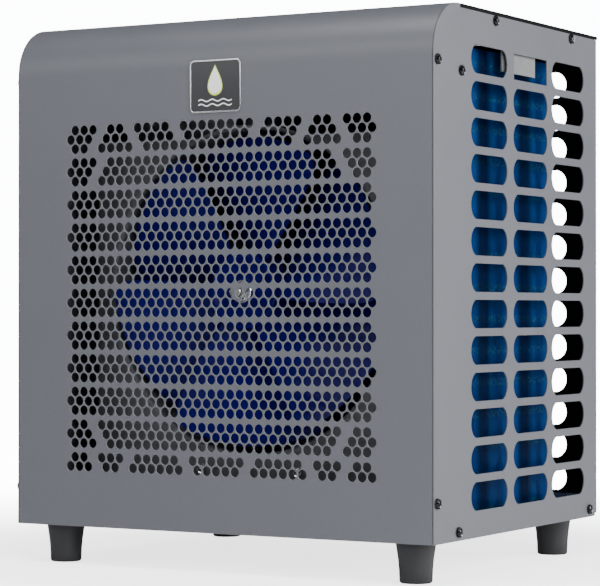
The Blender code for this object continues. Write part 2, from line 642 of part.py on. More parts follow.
def controller():
    """The display and its three buttons, in the left side's square window."""
    width, height = SENSOR_WINDOW
    face, panel = -SIDE_X - 0.0018, -SIDE_X - GAP
    y, z = CONTROL_Y, CONTROL_HEIGHT
    bezel = box(
        "controller_bezel", at(face, y - width / 2 - 0.003, z - height / 2 - 0.003),
        at(panel, y + width / 2 + 0.003, z + height / 2 + 0.003), motor_black,
    )
    inset = 0.0006
    tray = box(
        "controller body", at(panel - 0.0005, y - width / 2 + inset, z - height / 2 + inset),
        at(-0.172, y + width / 2 - inset, z + height / 2 - inset), motor_black, hidden=True,
    )
    boolean(bezel, "UNION", [tray])
    rim = 0.0022
    pocket = box(
        "controller pocket", at(face + 0.0020, y - width / 2 + rim, z - height / 2 + rim),
        at(-0.160, y + width / 2 - rim, z + height / 2 - rim), motor_black, hidden=True,
    )
    lens_y = y - 0.0145
    opening = box(
        "lens opening", at(face - 0.002, lens_y - 0.0123, z - 0.0068), at(-0.180, lens_y + 0.0123, z + 0.0068),
        motor_black, hidden=True,
    )
    ends = [(at(face - 0.002, y + offset, z), at(-0.182, y + offset, z)) for _, offset in BUTTON_OFFSETS]
    keyholes = rods("button openings", ends, 0.0038, motor_black, sides=20)
    boolean(bezel, "DIFFERENCE", [pocket, opening, keyholes])
    low = at(face + 0.0003, lens_y - 0.0120, z - 0.0065)
    high = at(face + 0.0017, lens_y + 0.0120, z + 0.0065)
    box("display_lens", low, high, glass_black)
    for name, offset in BUTTON_OFFSETS:
        cap = [(0, face + 0.0036), (0.0042, face + 0.0036), (0.0042, face + 0.0024), (0.0034, face + 0.0024)]
        cap += [(0.0034, face - 0.0004), (0.0030, face - 0.0007), (0, face - 0.0007)]
        turned(name, cap, Matrix.Translation(at(0, y + offset, z)) @ TO_X, grey_plastic, sides=20)


def fittings():
    gland_place = Matrix.Translation(at(PORT_X, 0, GLAND_HEIGHT)) @ TO_BACK
    gland = [(0.0040, 0.1400), (0.0075, 0.1400), (0.0075, 0.1503), (0.0120, 0.1503), (0.0120, 0.1570)]
    gland += [(0.0100, 0.1580), (0.0095, 0.1680), (0.0070, 0.1730), (0.0040, 0.1730)]
    turned("cable_gland", gland, gland_place, motor_black, sides=24, ring=True)
    nipple = [(0.0050, 0.0035), (0.0130, 0.0035), (0.0130, 0.0015), (0.0085, 0.0015), (0.0085, -0.0130)]
    nipple += [(0.0075, -0.0180), (0.0050, -0.0180)]
    turned("drain_nipple", nipple, Matrix.Translation(at(*DRAIN_AT, 0)), motor_black, sides=20, ring=True)
    x = PAN_X - GAP
    box("sensor_bracket", at(x - SHEET, -0.027, 0.356), at(x, 0.034, 0.397), side_paint)
    bm = outline_faces(
        badge_outline(), [], lambda u, v: at(u, FRONT_Y - BADGE_PROUD, v), (0, -1, 0)
    )
    sheet_metal("badge_plate", bm, (0, -1, 0), chrome, thickness=BADGE_PROUD - GAP)


def badge_outline():
    width, height, radius, middle = 0.046, 0.0405, 0.004, 0.3435
    points = []
    for sx, sy, start in ((1, -1, -90), (1, 1, 0), (-1, 1, 90), (-1, -1, 180)):
        corner = (sx * (width / 2 - radius), middle + sy * (height / 2 - radius))
        points += arc(corner, radius, start, start + 90, 4)
    return points


def screws():
    for side, word in ((1, "right"), (-1, "left")):
        turn = Matrix.Rotation(side * math.pi / 2, 4, "Y")
        for where, (y, height) in side_screws(side):
            place = Matrix.Translation(at(side * SIDE_X, y, height)) @ turn
            screw(f"screw_{word}_{where}", place, screw_metal)
    for side, word in ((1, "right"), (-1, "left")):
        place = at(side * SHROUD_SCREW_X, SHROUD_Y, SHROUD_SCREW_HEIGHT)
        to_front = Matrix.Rotation(math.pi / 2, 4, "X")
        screw(f"shroud_screw_{word}", Matrix.Translation(place) @ to_front, chrome)


clear_scene()
unit_frame = bpy.data.objects.new("unit_frame", None)
bpy.context.scene.collection.objects.link(unit_frame)

paint = finish("satin grey paint", (0.17, 0.18, 0.20), 0.42, 0.3)
side_paint = finish("side grey paint", (0.22, 0.23, 0.25), 0.45, 0.3)
shroud_paint = finish("shroud grey paint", (0.20, 0.21, 0.22), 0.5)
galvanised = finish("galvanised steel", (0.55, 0.56, 0.58), 0.35, 0.9)
steel = finish("shaft steel", (0.60, 0.60, 0.62), 0.25, 1.0)
chrome = finish("bright zinc", (0.75, 0.76, 0.78), 0.18, 1.0)
screw_metal = finish("black nickel", (0.10, 0.10, 0.11), 0.2, 1.0)
motor_black = finish("black enamel", (0.02, 0.02, 0.022), 0.4)
rubber = finish("black rubber", (0.05, 0.05, 0.055), 0.7)
blue_plastic = finish("blue fan plastic", (0.02, 0.04, 0.45), 0.3)
fin_blue = finish("blue coated fins", (0.02, 0.16, 0.42), 0.35, 0.5)
copper = finish("copper tube", (0.72, 0.36, 0.22), 0.3, 1.0)
brass = finish("brass", (0.70, 0.52, 0.22), 0.3, 1.0)
grey_plastic = finish("grey plastic", (0.35, 0.36, 0.38), 0.5)
nut_plastic = finish("union nut plastic", (0.06, 0.06, 0.065), 0.45)
board_green = finish("circuit board", (0.02, 0.20, 0.08), 0.4)
glass_black = finish("display window", (0.01, 0.01, 0.012), 0.08)

front_panel()
front_flange("front_flange_right", 1)
front_flange("front_flange_left", -1)
top_cover()
coil_side_slots = [(y, row) for y in SIDE_SLOT_COLUMNS for row in range(SLOT_ROWS)]
coil_side_slots.remove((CONTROL_Y, 0))
side_panel("side_panel_right", 1, coil_side_slots)
side_panel("side_panel_left", -1, [(SIDE_SLOT_COLUMNS[2], row) for row in range(8, SLOT_ROWS)])
back_panel()
base_pan()
for word_y, sign_y in (("front", -1), ("rear", 1)):
    for word_x, sign_x in (("left", -1), ("right", 1)):
        foot(f"foot_{word_y}_{word_x}", sign_x * FOOT_X, sign_y * FOOT_Y)
fan_shroud()
shroud_ring()
fan()
fan_drive()
motor_bracket()
evaporator()
compressor()
accumulator()
heat_exchanger()
water_port("water_inlet_port", "inlet_union_nut", PORT_HEIGHTS[0])
water_port("water_outlet_port", "outlet_union_nut", PORT_HEIGHTS[1])
pipework()
control_box()
controller()
fittings()
screws()
unit_frame.location.y = (BADGE_PROUD - REAR_OVERHANG) / 2
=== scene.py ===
import bmesh
import bpy
import json
import math
from mathutils import Matrix, Vector

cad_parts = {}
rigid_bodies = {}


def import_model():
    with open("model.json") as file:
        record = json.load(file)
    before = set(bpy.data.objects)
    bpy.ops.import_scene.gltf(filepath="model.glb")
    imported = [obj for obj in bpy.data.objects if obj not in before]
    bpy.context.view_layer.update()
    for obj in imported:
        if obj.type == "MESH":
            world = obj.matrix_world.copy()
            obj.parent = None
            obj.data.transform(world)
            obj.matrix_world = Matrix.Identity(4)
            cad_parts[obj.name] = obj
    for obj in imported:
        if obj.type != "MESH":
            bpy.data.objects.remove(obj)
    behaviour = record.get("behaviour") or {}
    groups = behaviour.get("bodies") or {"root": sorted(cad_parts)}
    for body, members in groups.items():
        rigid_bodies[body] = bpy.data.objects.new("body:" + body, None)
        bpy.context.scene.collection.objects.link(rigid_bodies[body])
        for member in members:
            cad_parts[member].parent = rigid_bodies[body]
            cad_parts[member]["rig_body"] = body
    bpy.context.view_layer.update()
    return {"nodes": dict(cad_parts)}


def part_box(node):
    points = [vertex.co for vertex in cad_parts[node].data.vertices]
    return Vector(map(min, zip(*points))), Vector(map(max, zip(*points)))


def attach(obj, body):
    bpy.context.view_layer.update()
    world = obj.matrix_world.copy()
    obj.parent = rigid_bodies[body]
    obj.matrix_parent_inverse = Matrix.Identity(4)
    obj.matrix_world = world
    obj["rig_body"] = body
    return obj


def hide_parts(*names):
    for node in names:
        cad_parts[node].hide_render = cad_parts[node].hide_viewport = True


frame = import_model()
print("frame loaded:", len(frame["nodes"]), "nodes")

sideLow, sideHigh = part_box("side_panel_right")
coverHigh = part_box("top_cover")[1]
pinLow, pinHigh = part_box("motor_shaft")
casing = {
    "x": sideHigh.x,  # half the width, to the outer faces of the side panels
    "front": sideLow.y,
    "back": sideHigh.y,
    "bottom": sideLow.z,
    "top": sideHigh.z,
    "coverX": sideLow.x - 0.0003,
    "sheet": 0.0012,
    "cornerRadius": 0.040,
    "fanZ": (pinLow.z + pinHigh.z) / 2,
}
backTurn = Matrix.Rotation(-math.pi / 2, 4, "X")  # local Z to +Y
sideTurn = Matrix.Rotation(math.pi / 2, 4, "Y")  # local Z to +X


def casingPoint(x, depth, height):
    # depth behind the casing's front face, height above its bottom edge
    return Vector((x, casing["front"] + depth, casing["bottom"] + height))


def arcPoints(centre, radius, start, end, steps):
    turns = [math.radians(start + (end - start) * i / steps) for i in range(steps + 1)]
    return [(centre[0] + radius * math.cos(t), centre[1] + radius * math.sin(t)) for t in turns]


def circlePoints(centre, radius, sides):
    return arcPoints(centre, radius, 0, 360, sides)[:-1]


def roundedRect(centre, width, height, radius, steps=5):
    points = []
    for sx, sy, start in ((1, -1, -90), (1, 1, 0), (-1, 1, 90), (-1, -1, 180)):
        corner = (centre[0] + sx * (width / 2 - radius), centre[1] + sy * (height / 2 - radius))
        points += arcPoints(corner, radius, start, start + 90, steps)
    return points


def fillSheet(bm, loops, place, facing):
    # one flat face region: the first loop is its outline, the others are its holes
    edges = []
    for loop in loops:
        points = [bm.verts.new(place(u, v)) for u, v in loop]
        edges += [bm.edges.new(pair) for pair in zip(points, points[1:] + points[:1])]
    made = bmesh.ops.triangle_fill(bm, use_beauty=True, use_dissolve=False, edges=edges, normal=facing)
    faces = [item for item in made["geom"] if isinstance(item, bmesh.types.BMFace)]
    for face in faces:
        if face.normal.dot(Vector(facing)) < 0:
            face.normal_flip()
    return faces


def foldEdges(bm, edges, offset):
    grown = bmesh.ops.extrude_edge_only(bm, edges=edges)["geom"]
    points = [item for item in grown if isinstance(item, bmesh.types.BMVert)]
    bmesh.ops.translate(bm, verts=points, vec=offset)
    known = set(points)
    return [item for item in grown if isinstance(item, bmesh.types.BMEdge) and known.issuperset(item.verts)]


def openEdges(bm, test):
    return [edge for edge in bm.edges if edge.is_boundary and all(test(vert.co) for vert in edge.verts)]


def addBox(bm, low, high):
    middle, size = (Vector(low) + Vector(high)) / 2, Vector(high) - Vector(low)
    place = Matrix.Translation(middle) @ Matrix.Diagonal((*size, 1))
    return bmesh.ops.create_cube(bm, size=1, matrix=place)["verts"]


def addTurned(bm, profile, place, steps=48, closed=False):
    # turns (radius, height) points round Z; a closed profile makes a ring
    points = [bm.verts.new((radius, 0, height)) for radius, height in profile]
    pairs = list(zip(points, points[1:]))
    if closed:
        pairs.append((points[-1], points[0]))
    edges = [bm.edges.new(pair) for pair in pairs]
    known = set(bm.verts) - set(points)
    bmesh.ops.spin(
        bm, geom=points + edges, cent=(0, 0, 0), axis=(0, 0, 1), angle=math.tau, steps=steps,
        use_merge=True,
    )
    made = [vert for vert in bm.verts if vert not in known]
    bmesh.ops.remove_doubles(bm, verts=made, dist=1e-6)
    made = [vert for vert in bm.verts if vert not in known]
    faces = list({face for vert in made for face in vert.link_faces})
    bmesh.ops.recalc_face_normals(bm, faces=faces)
    bmesh.ops.transform(bm, matrix=place, verts=made)
    return made


def alongY(x, y, z):
    # stands a turned shape on the point with its axis towards the rear
    return Matrix.Translation((x, y, z)) @ backTurn


def middleOf(node):
    low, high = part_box(node)
    return (low + high) / 2


def addRibs(bm, place, count, low, high):
    # the same small block, repeated evenly round the axis of place
    for i in range(count):
        rib = addBox(bm, low, high)
        bmesh.ops.transform(bm, matrix=place @ Matrix.Rotation(math.tau / count * i, 4, "Z"), verts=rib)


def makePiece(name, bm, finish, body="root", nodes=(), sharp=35):
    mesh = bpy.data.meshes.new(name)
    bm.to_mesh(mesh)
    bm.free()
    for one in finish if isinstance(finish, list) else [finish]:
        mesh.materials.append(one)
    mesh.shade_smooth()
    mesh.set_sharp_from_angle(angle=math.radians(sharp))
    piece = bpy.data.objects.new(name, mesh)
    bpy.context.scene.collection.objects.link(piece)
    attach(piece, body)
    if nodes:
        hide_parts(*nodes)
    return piece


def addWall(piece, thickness, inner=0, rim=0):
    # gives a sheet its thickness behind its faces, with a finish each for its inner side and its cut edges
    wall = piece.modifiers.new("Wall", "SOLIDIFY")
    wall.thickness = thickness
    wall.material_offset = inner
    wall.material_offset_rim = rim
    wall.offset = -1
    wall.use_even_offset = True
    bpy.context.view_layer.update()
    graph = bpy.context.evaluated_depsgraph_get()
    solid = bpy.data.meshes.new_from_object(piece.evaluated_get(graph))
    piece.modifiers.clear()
    sheet = piece.data
    piece.data = solid
    bpy.data.meshes.remove(sheet)
    solid.shade_smooth()
    solid.set_sharp_from_angle(angle=math.radians(30))
    return piece


def addEdge(piece, width, segments=2, degrees=40):
    edge = piece.modifiers.new("Edge", "BEVEL")
    edge.width = width
    edge.segments = segments
    edge.limit_method = "ANGLE"
    edge.angle_limit = math.radians(degrees)
    edge.harden_normals = True
    return piece


def nodeOf(tree, kind, **values):
    node = tree.nodes.new(kind)
    for key, value in values.items():
        if key in node.inputs:
            node.inputs[key].default_value = value
        else:
            setattr(node, key, value)
    return node


def shade(colour, factor):
    return (*[min(1.0, part * factor) for part in colour], 1.0)


def makeFinish(name, look):
    # colour, roughness and grain vary over the surface; the rest is the same all over
    material = bpy.data.materials.new(name)
    material.use_nodes = True
    tree = material.node_tree
    link = tree.links.new
    shader = tree.nodes["Principled BSDF"]
    spot = nodeOf(tree, "ShaderNodeTexCoord")
    turn = nodeOf(tree, "ShaderNodeMapping")
    turn.inputs["Scale"].default_value = look.get("stretch", (1, 1, 1))
    link(spot.outputs["Object"], turn.inputs["Vector"])
    cloud = nodeOf(tree, "ShaderNodeTexNoise", Scale=look.get("cloudScale", 14), Detail=4.0, Roughness=0.6)
    link(turn.outputs["Vector"], cloud.inputs["Vector"])
    tone = nodeOf(tree, "ShaderNodeMix", data_type="RGBA")
    spread = look.get("spread", 0.08)
    tone.inputs[6].default_value = shade(look["colour"], 1 - spread)
    tone.inputs[7].default_value = shade(look.get("colour2", look["colour"]), 1 + spread)
    link(cloud.outputs["Fac"], tone.inputs["Factor"])
    link(tone.outputs[2], shader.inputs["Base Color"])
    gloss = nodeOf(tree, "ShaderNodeMapRange")
    low, high = look["roughness"]
    gloss.inputs["From Min"].default_value = 0.3
    gloss.inputs["From Max"].default_value = 0.7
    gloss.inputs["To Min"].default_value = low
    gloss.inputs["To Max"].default_value = high
    link(cloud.outputs["Fac"], gloss.inputs["Value"])
    link(gloss.outputs["Result"], shader.inputs["Roughness"])
    grain = nodeOf(tree, "ShaderNodeTexNoise", Scale=look.get("grainScale", 1400), Detail=2.0, Roughness=0.5)
    link(turn.outputs["Vector"], grain.inputs["Vector"])
    bump = nodeOf(tree, "ShaderNodeBump", Strength=look.get("grain", 0.1), Distance=look.get("depth", 0.0002))
    link(grain.outputs["Fac"], bump.inputs["Height"])
    link(bump.outputs["Normal"], shader.inputs["Normal"])
    for socket in ("Metallic", "IOR", "Transmission Weight", "Coat Weight", "Coat Roughness",
                   "Specular IOR Level"):
        if socket in look:
            shader.inputs[socket].default_value = look[socket]
    if "glow" in look:
        shader.inputs["Emission Color"].default_value = (*look["glow"], 1)
        shader.inputs["Emission Strength"].default_value = 1.0
    if "cells" in look:
        addCells(tree, turn, tone, look)
    if "rows" in look:
        addRows(tree, spot, tone, look)
    return material


def addRows(tree, spot, tone, look):
    # level rows at a steady pitch, where tubes pass through the fins, with small painted glints along them
    link = tree.links.new
    split = nodeOf(tree, "ShaderNodeSeparateXYZ")
    link(spot.outputs["Object"], split.inputs["Vector"])
    start = nodeOf(tree, "ShaderNodeMath", operation="SUBTRACT")
    start.inputs[1].default_value = look["rowStart"]
    link(split.outputs["Z"], start.inputs[0])
    turns = nodeOf(tree, "ShaderNodeMath", operation="DIVIDE")
    turns.inputs[1].default_value = look["rows"]
    link(start.outputs["Value"], turns.inputs[0])
    fold = nodeOf(tree, "ShaderNodeMath", operation="PINGPONG")
    fold.inputs[1].default_value = 0.5
    link(turns.outputs["Value"], fold.inputs[0])
    near = nodeOf(tree, "ShaderNodeMapRange", interpolation_type="SMOOTHSTEP")
    near.inputs["From Min"].default_value = 0.16
    near.inputs["From Max"].default_value = 0.06
    link(fold.outputs["Value"], near.inputs["Value"])
    glint = nodeOf(tree, "ShaderNodeTexNoise", Scale=420.0, Detail=3.0)
    link(spot.outputs["Object"], glint.inputs["Vector"])
    gate = nodeOf(tree, "ShaderNodeMapRange")
    gate.inputs["From Min"].default_value = 0.48
    gate.inputs["From Max"].default_value = 0.70
    link(glint.outputs["Fac"], gate.inputs["Value"])
    both = nodeOf(tree, "ShaderNodeMath", operation="MULTIPLY")
    link(near.outputs["Result"], both.inputs[0])
    link(gate.outputs["Result"], both.inputs[1])
    mix = nodeOf(tree, "ShaderNodeMix", data_type="RGBA")
    mix.inputs[7].default_value = (*look["rowGlintColour"], 1)
    link(both.outputs["Value"], mix.inputs["Factor"])
    link(tone.outputs[2], mix.inputs[6])
    # two upright dark bands of painted shadow along the coil's side arm, where the bars between the side
    # slots shade the fins
    away = nodeOf(tree, "ShaderNodeMath", operation="SUBTRACT")
    away.inputs[1].default_value = look["shadowBandMiddle"]
    link(split.outputs["Y"], away.inputs[0])
    for step in (0, 1):
        size = nodeOf(tree, "ShaderNodeMath", operation="ABSOLUTE")
        link(away.outputs["Value"], size.inputs[0])
        away = size
        if step == 0:
            away = nodeOf(tree, "ShaderNodeMath", operation="SUBTRACT")
            away.inputs[1].default_value = look["shadowBandApart"] / 2
            link(size.outputs["Value"], away.inputs[0])
    band = nodeOf(tree, "ShaderNodeMapRange", interpolation_type="SMOOTHSTEP")
    for key, value in zip(("From Min", "From Max", "To Max"), look["shadowBandFade"]):
        band.inputs[key].default_value = value
    link(away.outputs["Value"], band.inputs["Value"])
    dark = nodeOf(tree, "ShaderNodeMix", data_type="RGBA")
    dark.inputs[7].default_value = (*look["shadowBandColour"], 1)
    link(band.outputs["Result"], dark.inputs["Factor"])
    link(mix.outputs[2], dark.inputs[6])
    link(dark.outputs[2], tree.nodes["Principled BSDF"].inputs["Base Color"])


def addCells(tree, turn, tone, look):
    # zinc spangle or metal flake: each cell has its own tone
    cell = nodeOf(tree, "ShaderNodeTexVoronoi", Scale=look["cells"])
    mix = nodeOf(tree, "ShaderNodeMix", data_type="RGBA", blend_type="MULTIPLY")
    level = nodeOf(tree, "ShaderNodeMapRange")
    level.inputs["To Min"].default_value = 1 - look.get("cellSpread", 0.15)
    level.inputs["To Max"].default_value = 1 + look.get("cellSpread", 0.15)
    split = nodeOf(tree, "ShaderNodeSeparateColor")
    tree.links.new(turn.outputs["Vector"], cell.inputs["Vector"])
    tree.links.new(cell.outputs["Color"], split.inputs["Color"])
    tree.links.new(split.outputs["Red"], level.inputs["Value"])
    join = nodeOf(tree, "ShaderNodeCombineColor")
    for part in ("Red", "Green", "Blue"):
        tree.links.new(level.outputs["Result"], join.inputs[part])
    mix.inputs["Factor"].default_value = 1.0
    tree.links.new(tone.outputs[2], mix.inputs[6])
    tree.links.new(join.outputs["Color"], mix.inputs[7])
    tree.links.new(mix.outputs[2], tree.nodes["Principled BSDF"].inputs["Base Color"])


finishes = {
    "paint": {
        "colour": (0.098, 0.103, 0.118), "roughness": (0.40, 0.46), "Metallic": 0.1, "spread": 0.02,
        "grainScale": 1500, "grain": 0.10, "cells": 2600, "cellSpread": 0.07,
    },
    # a lighter copy of the paint for cut edges: painted highlight where the hole rims and sheet edges catch
    # light
    "paintEdgeHighlight": {"colour": (0.22, 0.228, 0.245), "roughness": (0.34, 0.42), "Metallic": 0.1, "spread": 0.05},
    "shroudPaint": {
        "colour": (0.062, 0.066, 0.074), "roughness": (0.45, 0.52), "spread": 0.03, "grain": 0.12,
    },
    "galvanised": {
        "colour": (0.50, 0.51, 0.53), "roughness": (0.32, 0.45), "Metallic": 0.9,
        "cells": 160, "cellSpread": 0.2,
    },
    "paleSteel": {
        "colour": (0.17, 0.178, 0.18), "roughness": (0.38, 0.48), "Metallic": 0.3,
        "cells": 300, "cellSpread": 0.06,
    },
    "turnedSteel": {
        "colour": (0.60, 0.60, 0.62), "roughness": (0.20, 0.30), "Metallic": 1.0, "stretch": (1, 30, 1),
        "grainScale": 300, "grain": 0.08,
    },
    "brightZinc": {"colour": (0.78, 0.79, 0.82), "roughness": (0.10, 0.20), "Metallic": 1.0, "spread": 0.05},
    "blackNickel": {
        "colour": (0.030, 0.030, 0.033), "roughness": (0.06, 0.10), "Metallic": 1.0, "grain": 0.03,
    },
    "blackEnamel": {
        "colour": (0.018, 0.018, 0.020), "roughness": (0.30, 0.42), "spread": 0.2, "grain": 0.10,
        "Coat Weight": 0.2, "Coat Roughness": 0.3,
    },
    "rubber": {
        "colour": (0.010, 0.010, 0.012), "roughness": (0.52, 0.64), "spread": 0.15, "grainScale": 2200,
        "grain": 0.22,
    },
    "fanPlastic": {
        "colour": (0.0010, 0.0002, 0.060), "colour2": (0.0030, 0.0006, 0.16), "roughness": (0.16, 0.26),
        "Specular IOR Level": 0.07, "Transmission Weight": 0.05, "grainScale": 700, "grain": 0.2,
        "spread": 0.15,
    },
    "finBlue": {
        "colour": (0.0008, 0.018, 0.16), "colour2": (0.002, 0.135, 0.46), "roughness": (0.26, 0.38),
        "Metallic": 0.55,
        "stretch": (1, 1, 0.06), "cloudScale": 34, "grainScale": 900, "grain": 0.15, "spread": 0.2,
        # the row colour is a painted glint, lighter than the fins
        "rows": 0.0244, "rowStart": casing["bottom"] + 0.0182, "rowGlintColour": (0.05, 0.30, 0.42),
        # the two dark bands below are painted shadow, spaced like the side slot columns
        "shadowBandMiddle": casing["front"] + 0.1315 + 0.017, "shadowBandApart": 0.075, "shadowBandFade": (0.017, 0.004, 0.85),
        "shadowBandColour": (0.0006, 0.006, 0.045),
    },
    "copper": {
        "colour": (0.72, 0.34, 0.20), "colour2": (0.60, 0.27, 0.15), "roughness": (0.22, 0.40),
        "Metallic": 1.0,
        "cloudScale": 60, "spread": 0.1,
    },
    "brass": {"colour": (0.72, 0.53, 0.22), "roughness": (0.22, 0.34), "Metallic": 1.0, "cloudScale": 60},
    "greyPlastic": {
        "colour": (0.33, 0.34, 0.36), "roughness": (0.42, 0.55), "grainScale": 1100, "grain": 0.18,
    },
    "blackPlastic": {
        "colour": (0.030, 0.030, 0.033), "roughness": (0.40, 0.52), "grainScale": 1200, "grain": 0.2,
    },
    "board": {"colour": (0.015, 0.17, 0.06), "roughness": (0.30, 0.40), "cloudScale": 120, "spread": 0.2},
    "window": {"colour": (0.008, 0.008, 0.010), "roughness": (0.05, 0.09), "Coat Weight": 1.0, "grain": 0.01},
    "digit": {"colour": (0.30, 0.75, 0.85), "roughness": (0.3, 0.4), "glow": (0.30, 0.75, 0.85)},
    "badgeDark": {
        "colour": (0.030, 0.031, 0.034), "roughness": (0.16, 0.22), "Coat Weight": 0.6, "grain": 0.03,
    },
    "badgeWhite": {
        "colour": (0.86, 0.87, 0.84), "roughness": (0.22, 0.28), "Coat Weight": 0.4, "grain": 0.03,
    },
    "badgeLime": {"colour": (0.62, 0.74, 0.10), "roughness": (0.22, 0.28), "Coat Weight": 0.4, "grain": 0.03},
    # near black, for painted shade: the dark strips under the lid and the back panel's inner side
    "paintedShade": {
        "colour": (0.003, 0.003, 0.0035), "roughness": (0.7, 0.8), "Specular IOR Level": 0.08,
        "grainScale": 1500, "grain": 0.15,
    },
}
mat = {name: makeFinish(name, look) for name, look in finishes.items()}
print("finishes made:", len(mat))


coverLook = {
    "nodes": ["front_panel", "front_flange_right", "front_flange_left", "top_cover"],
    "holeRadius": 0.0039,
    "holeSides": 18,
    "pitch": 0.0085,
    "rowPitch": 0.00738,
    "bandPitch": 0.0259,
    "topBand": 0.3067,
    "bands": 11,
    "lipStart": 0.004,
    "rearOverhang": 0.0015,
    # width of the black strip painted as the shadow line under the lid's edge
    "shadowLine": 0.0012,
    "flange": (0.014, 0.358, 0.016),  # its low and high ends, and its depth
}
# holes left out of a band's row, which part the corners of the pattern into small groups
patternGaps = {
    (0, "a"): (3, 6, 11, 20, 25, 28), (0, "b"): (3, 7, 12, 20, 25, 29), (0, "c"): (2, 7, 24, 29),
    (1, "a"): (3, 28), (1, "b"): (3, 29), (1, "c"): (2, 29),
    (9, "a"): (2, 29), (9, "b"): (3, 29), (9, "c"): (3, 28),
    (10, "a"): (2, 6, 12, 19, 25, 29), (10, "b"): (3, 6, 13, 19, 26, 29),
}


def bandHoles(band):
    look = coverLook
    middle = look["topBand"] - band * look["bandPitch"]
    holes = []
    for row, rise, count in (("a", 1, 32), ("b", 0, 33), ("c", -1, 32)):
        if row == "c" and band == look["bands"] - 1:
            continue
        for i in range(count):
            if i not in patternGaps.get((band, row), ()):
                x = (i - (count - 1) / 2) * look["pitch"]
                centre = (x, middle + rise * look["rowPitch"])
                holes.append(circlePoints(centre, look["holeRadius"], look["holeSides"]))
    return holes


def makeCover():
    look = coverLook
    wide, base = casing["coverX"], casing["bottom"]
    height = casing["top"] - base
    corner = arcPoints(
        (casing["front"] + casing["cornerRadius"], casing["top"] - casing["cornerRadius"]),
        casing["cornerRadius"], 180, 90, 20,
    )
    flangeLow, flangeHigh, flangeDepth = look["flange"]
    levels = [look["topBand"] + (0.5 - band) * look["bandPitch"] for band in range(look["bands"] + 1)]
    levels = [height - casing["cornerRadius"], flangeHigh] + levels + [flangeLow, 0]
    bm = bmesh.new()
    for i, (upper, lower) in enumerate(zip(levels, levels[1:])):
        band = i - 2
        outline = [(-wide, lower), (wide, lower), (wide, upper), (-wide, upper)]
        holes = bandHoles(band) if 0 <= band < look["bands"] else []
        fillSheet(bm, [outline] + holes, lambda u, v: casingPoint(u, 0, v), (0, -1, 0))
    bmesh.ops.remove_doubles(bm, verts=bm.verts, dist=1e-6)
    rim = openEdges(bm, lambda co: abs(co.z - corner[0][1]) < 1e-5)
    for before, after in zip(corner, corner[1:]):
        rim = foldEdges(bm, rim, (0, after[0] - before[0], after[1] - before[1]))
    rim = foldEdges(bm, rim, (0, look["lipStart"], 0))
    lipY = corner[-1][0] + look["lipStart"]
    foldEdges(bm, rim, (0, casing["back"] + look["rearOverhang"] - lipY, 0))
    for side in (-1, 1):
        low, high = base + flangeLow - 1e-5, base + flangeHigh + 1e-5
        edge = openEdges(bm, lambda co: abs(co.x - side * wide) < 1e-5 and low < co.z < high)
        foldEdges(bm, edge, (0, flangeDepth, 0))
        level = casing["top"]
        edge = openEdges(
            bm, lambda co: abs(co.x - side * wide) < 1e-5 and abs(co.z - level) < 1e-5 and co.y > lipY - 1e-5
        )
        foldEdges(bm, edge, (side * (coverHigh.x - look["shadowLine"] - wide), 0, 0))
    bmesh.ops.recalc_face_normals(bm, faces=bm.faces)
    bm.faces.ensure_lookup_table()
    if bm.faces[0].normal.y > 0:
        bmesh.ops.reverse_faces(bm, faces=bm.faces[:])
    # the cut edges take the lighter paint, a painted highlight on the hole rims
    finish = [mat["paint"], mat["paintEdgeHighlight"]]
    piece = makePiece("perforatedCover", bm, finish, nodes=look["nodes"], sharp=30)
    addWall(piece, casing["sheet"], rim=1)
    bm = bmesh.new()
    for side in (-1, 1):
        # dark strips just inside the cover's sides: painted shade seen through the gap under the lid
        outer, inner = side * wide, side * (wide - casing["sheet"])
        low = casingPoint(min(outer, inner), 0.050, height - 0.014)
        high = casingPoint(max(outer, inner), 0.290, height - casing["sheet"] - 0.0001)
        addBox(bm, low, high)
        # a black strip along the lid's edge, painted as the shadow line under its lip
        outer, inner = side * coverHigh.x, side * (coverHigh.x - look["shadowLine"])
        low = (min(outer, inner), lipY, casing["top"] - 0.0026)
        high = (max(outer, inner), casing["back"] + look["rearOverhang"], casing["top"])
        addBox(bm, low, high)
    makePiece("coverShadeStrips", bm, mat["paintedShade"])


slotLook = {
    "length": 0.064, "height": 0.0214,
    "sagitta": 0.008,  # how far each rounded end bows out
    "pitch": 0.0275, "rows": 13, "top": 0.361, "steps": 12,
}
sideColumns = (0.094, 0.169, 0.242)  # slot centres, behind the front face
backColumns = (-0.0194, 0.0546, 0.1286)  # slot centres, from the middle of the width
windowSize = (0.062, 0.020)
screwPlaces = {  # behind the front face, above the bottom edge
    "top_front": (0.104, 0.393), "top_rear": (0.247, 0.393), "edge_upper": (0.0055, 0.355),
    "edge_lower": (0.005, 0.030), "pan_front": (0.040, 0.0065), "pan_rear": (0.284, 0.0065),
    "shroud": (0.045, 0.350),
}


def slotPoints(centre):
    look = slotLook
    radius = look["sagitta"] / 2 + look["height"] ** 2 / (8 * look["sagitta"])
    half = math.degrees(math.asin(look["height"] / 2 / radius))
    reach = look["length"] / 2 - radius
    right = arcPoints((centre[0] + reach, centre[1]), radius, -half, half, look["steps"])
    left = arcPoints((centre[0] - reach, centre[1]), radius, 180 - half, 180 + half, look["steps"])
    return right + left


def slotColumn(centre, rows):
    return [slotPoints((centre, slotLook["top"] - row * slotLook["pitch"])) for row in rows]


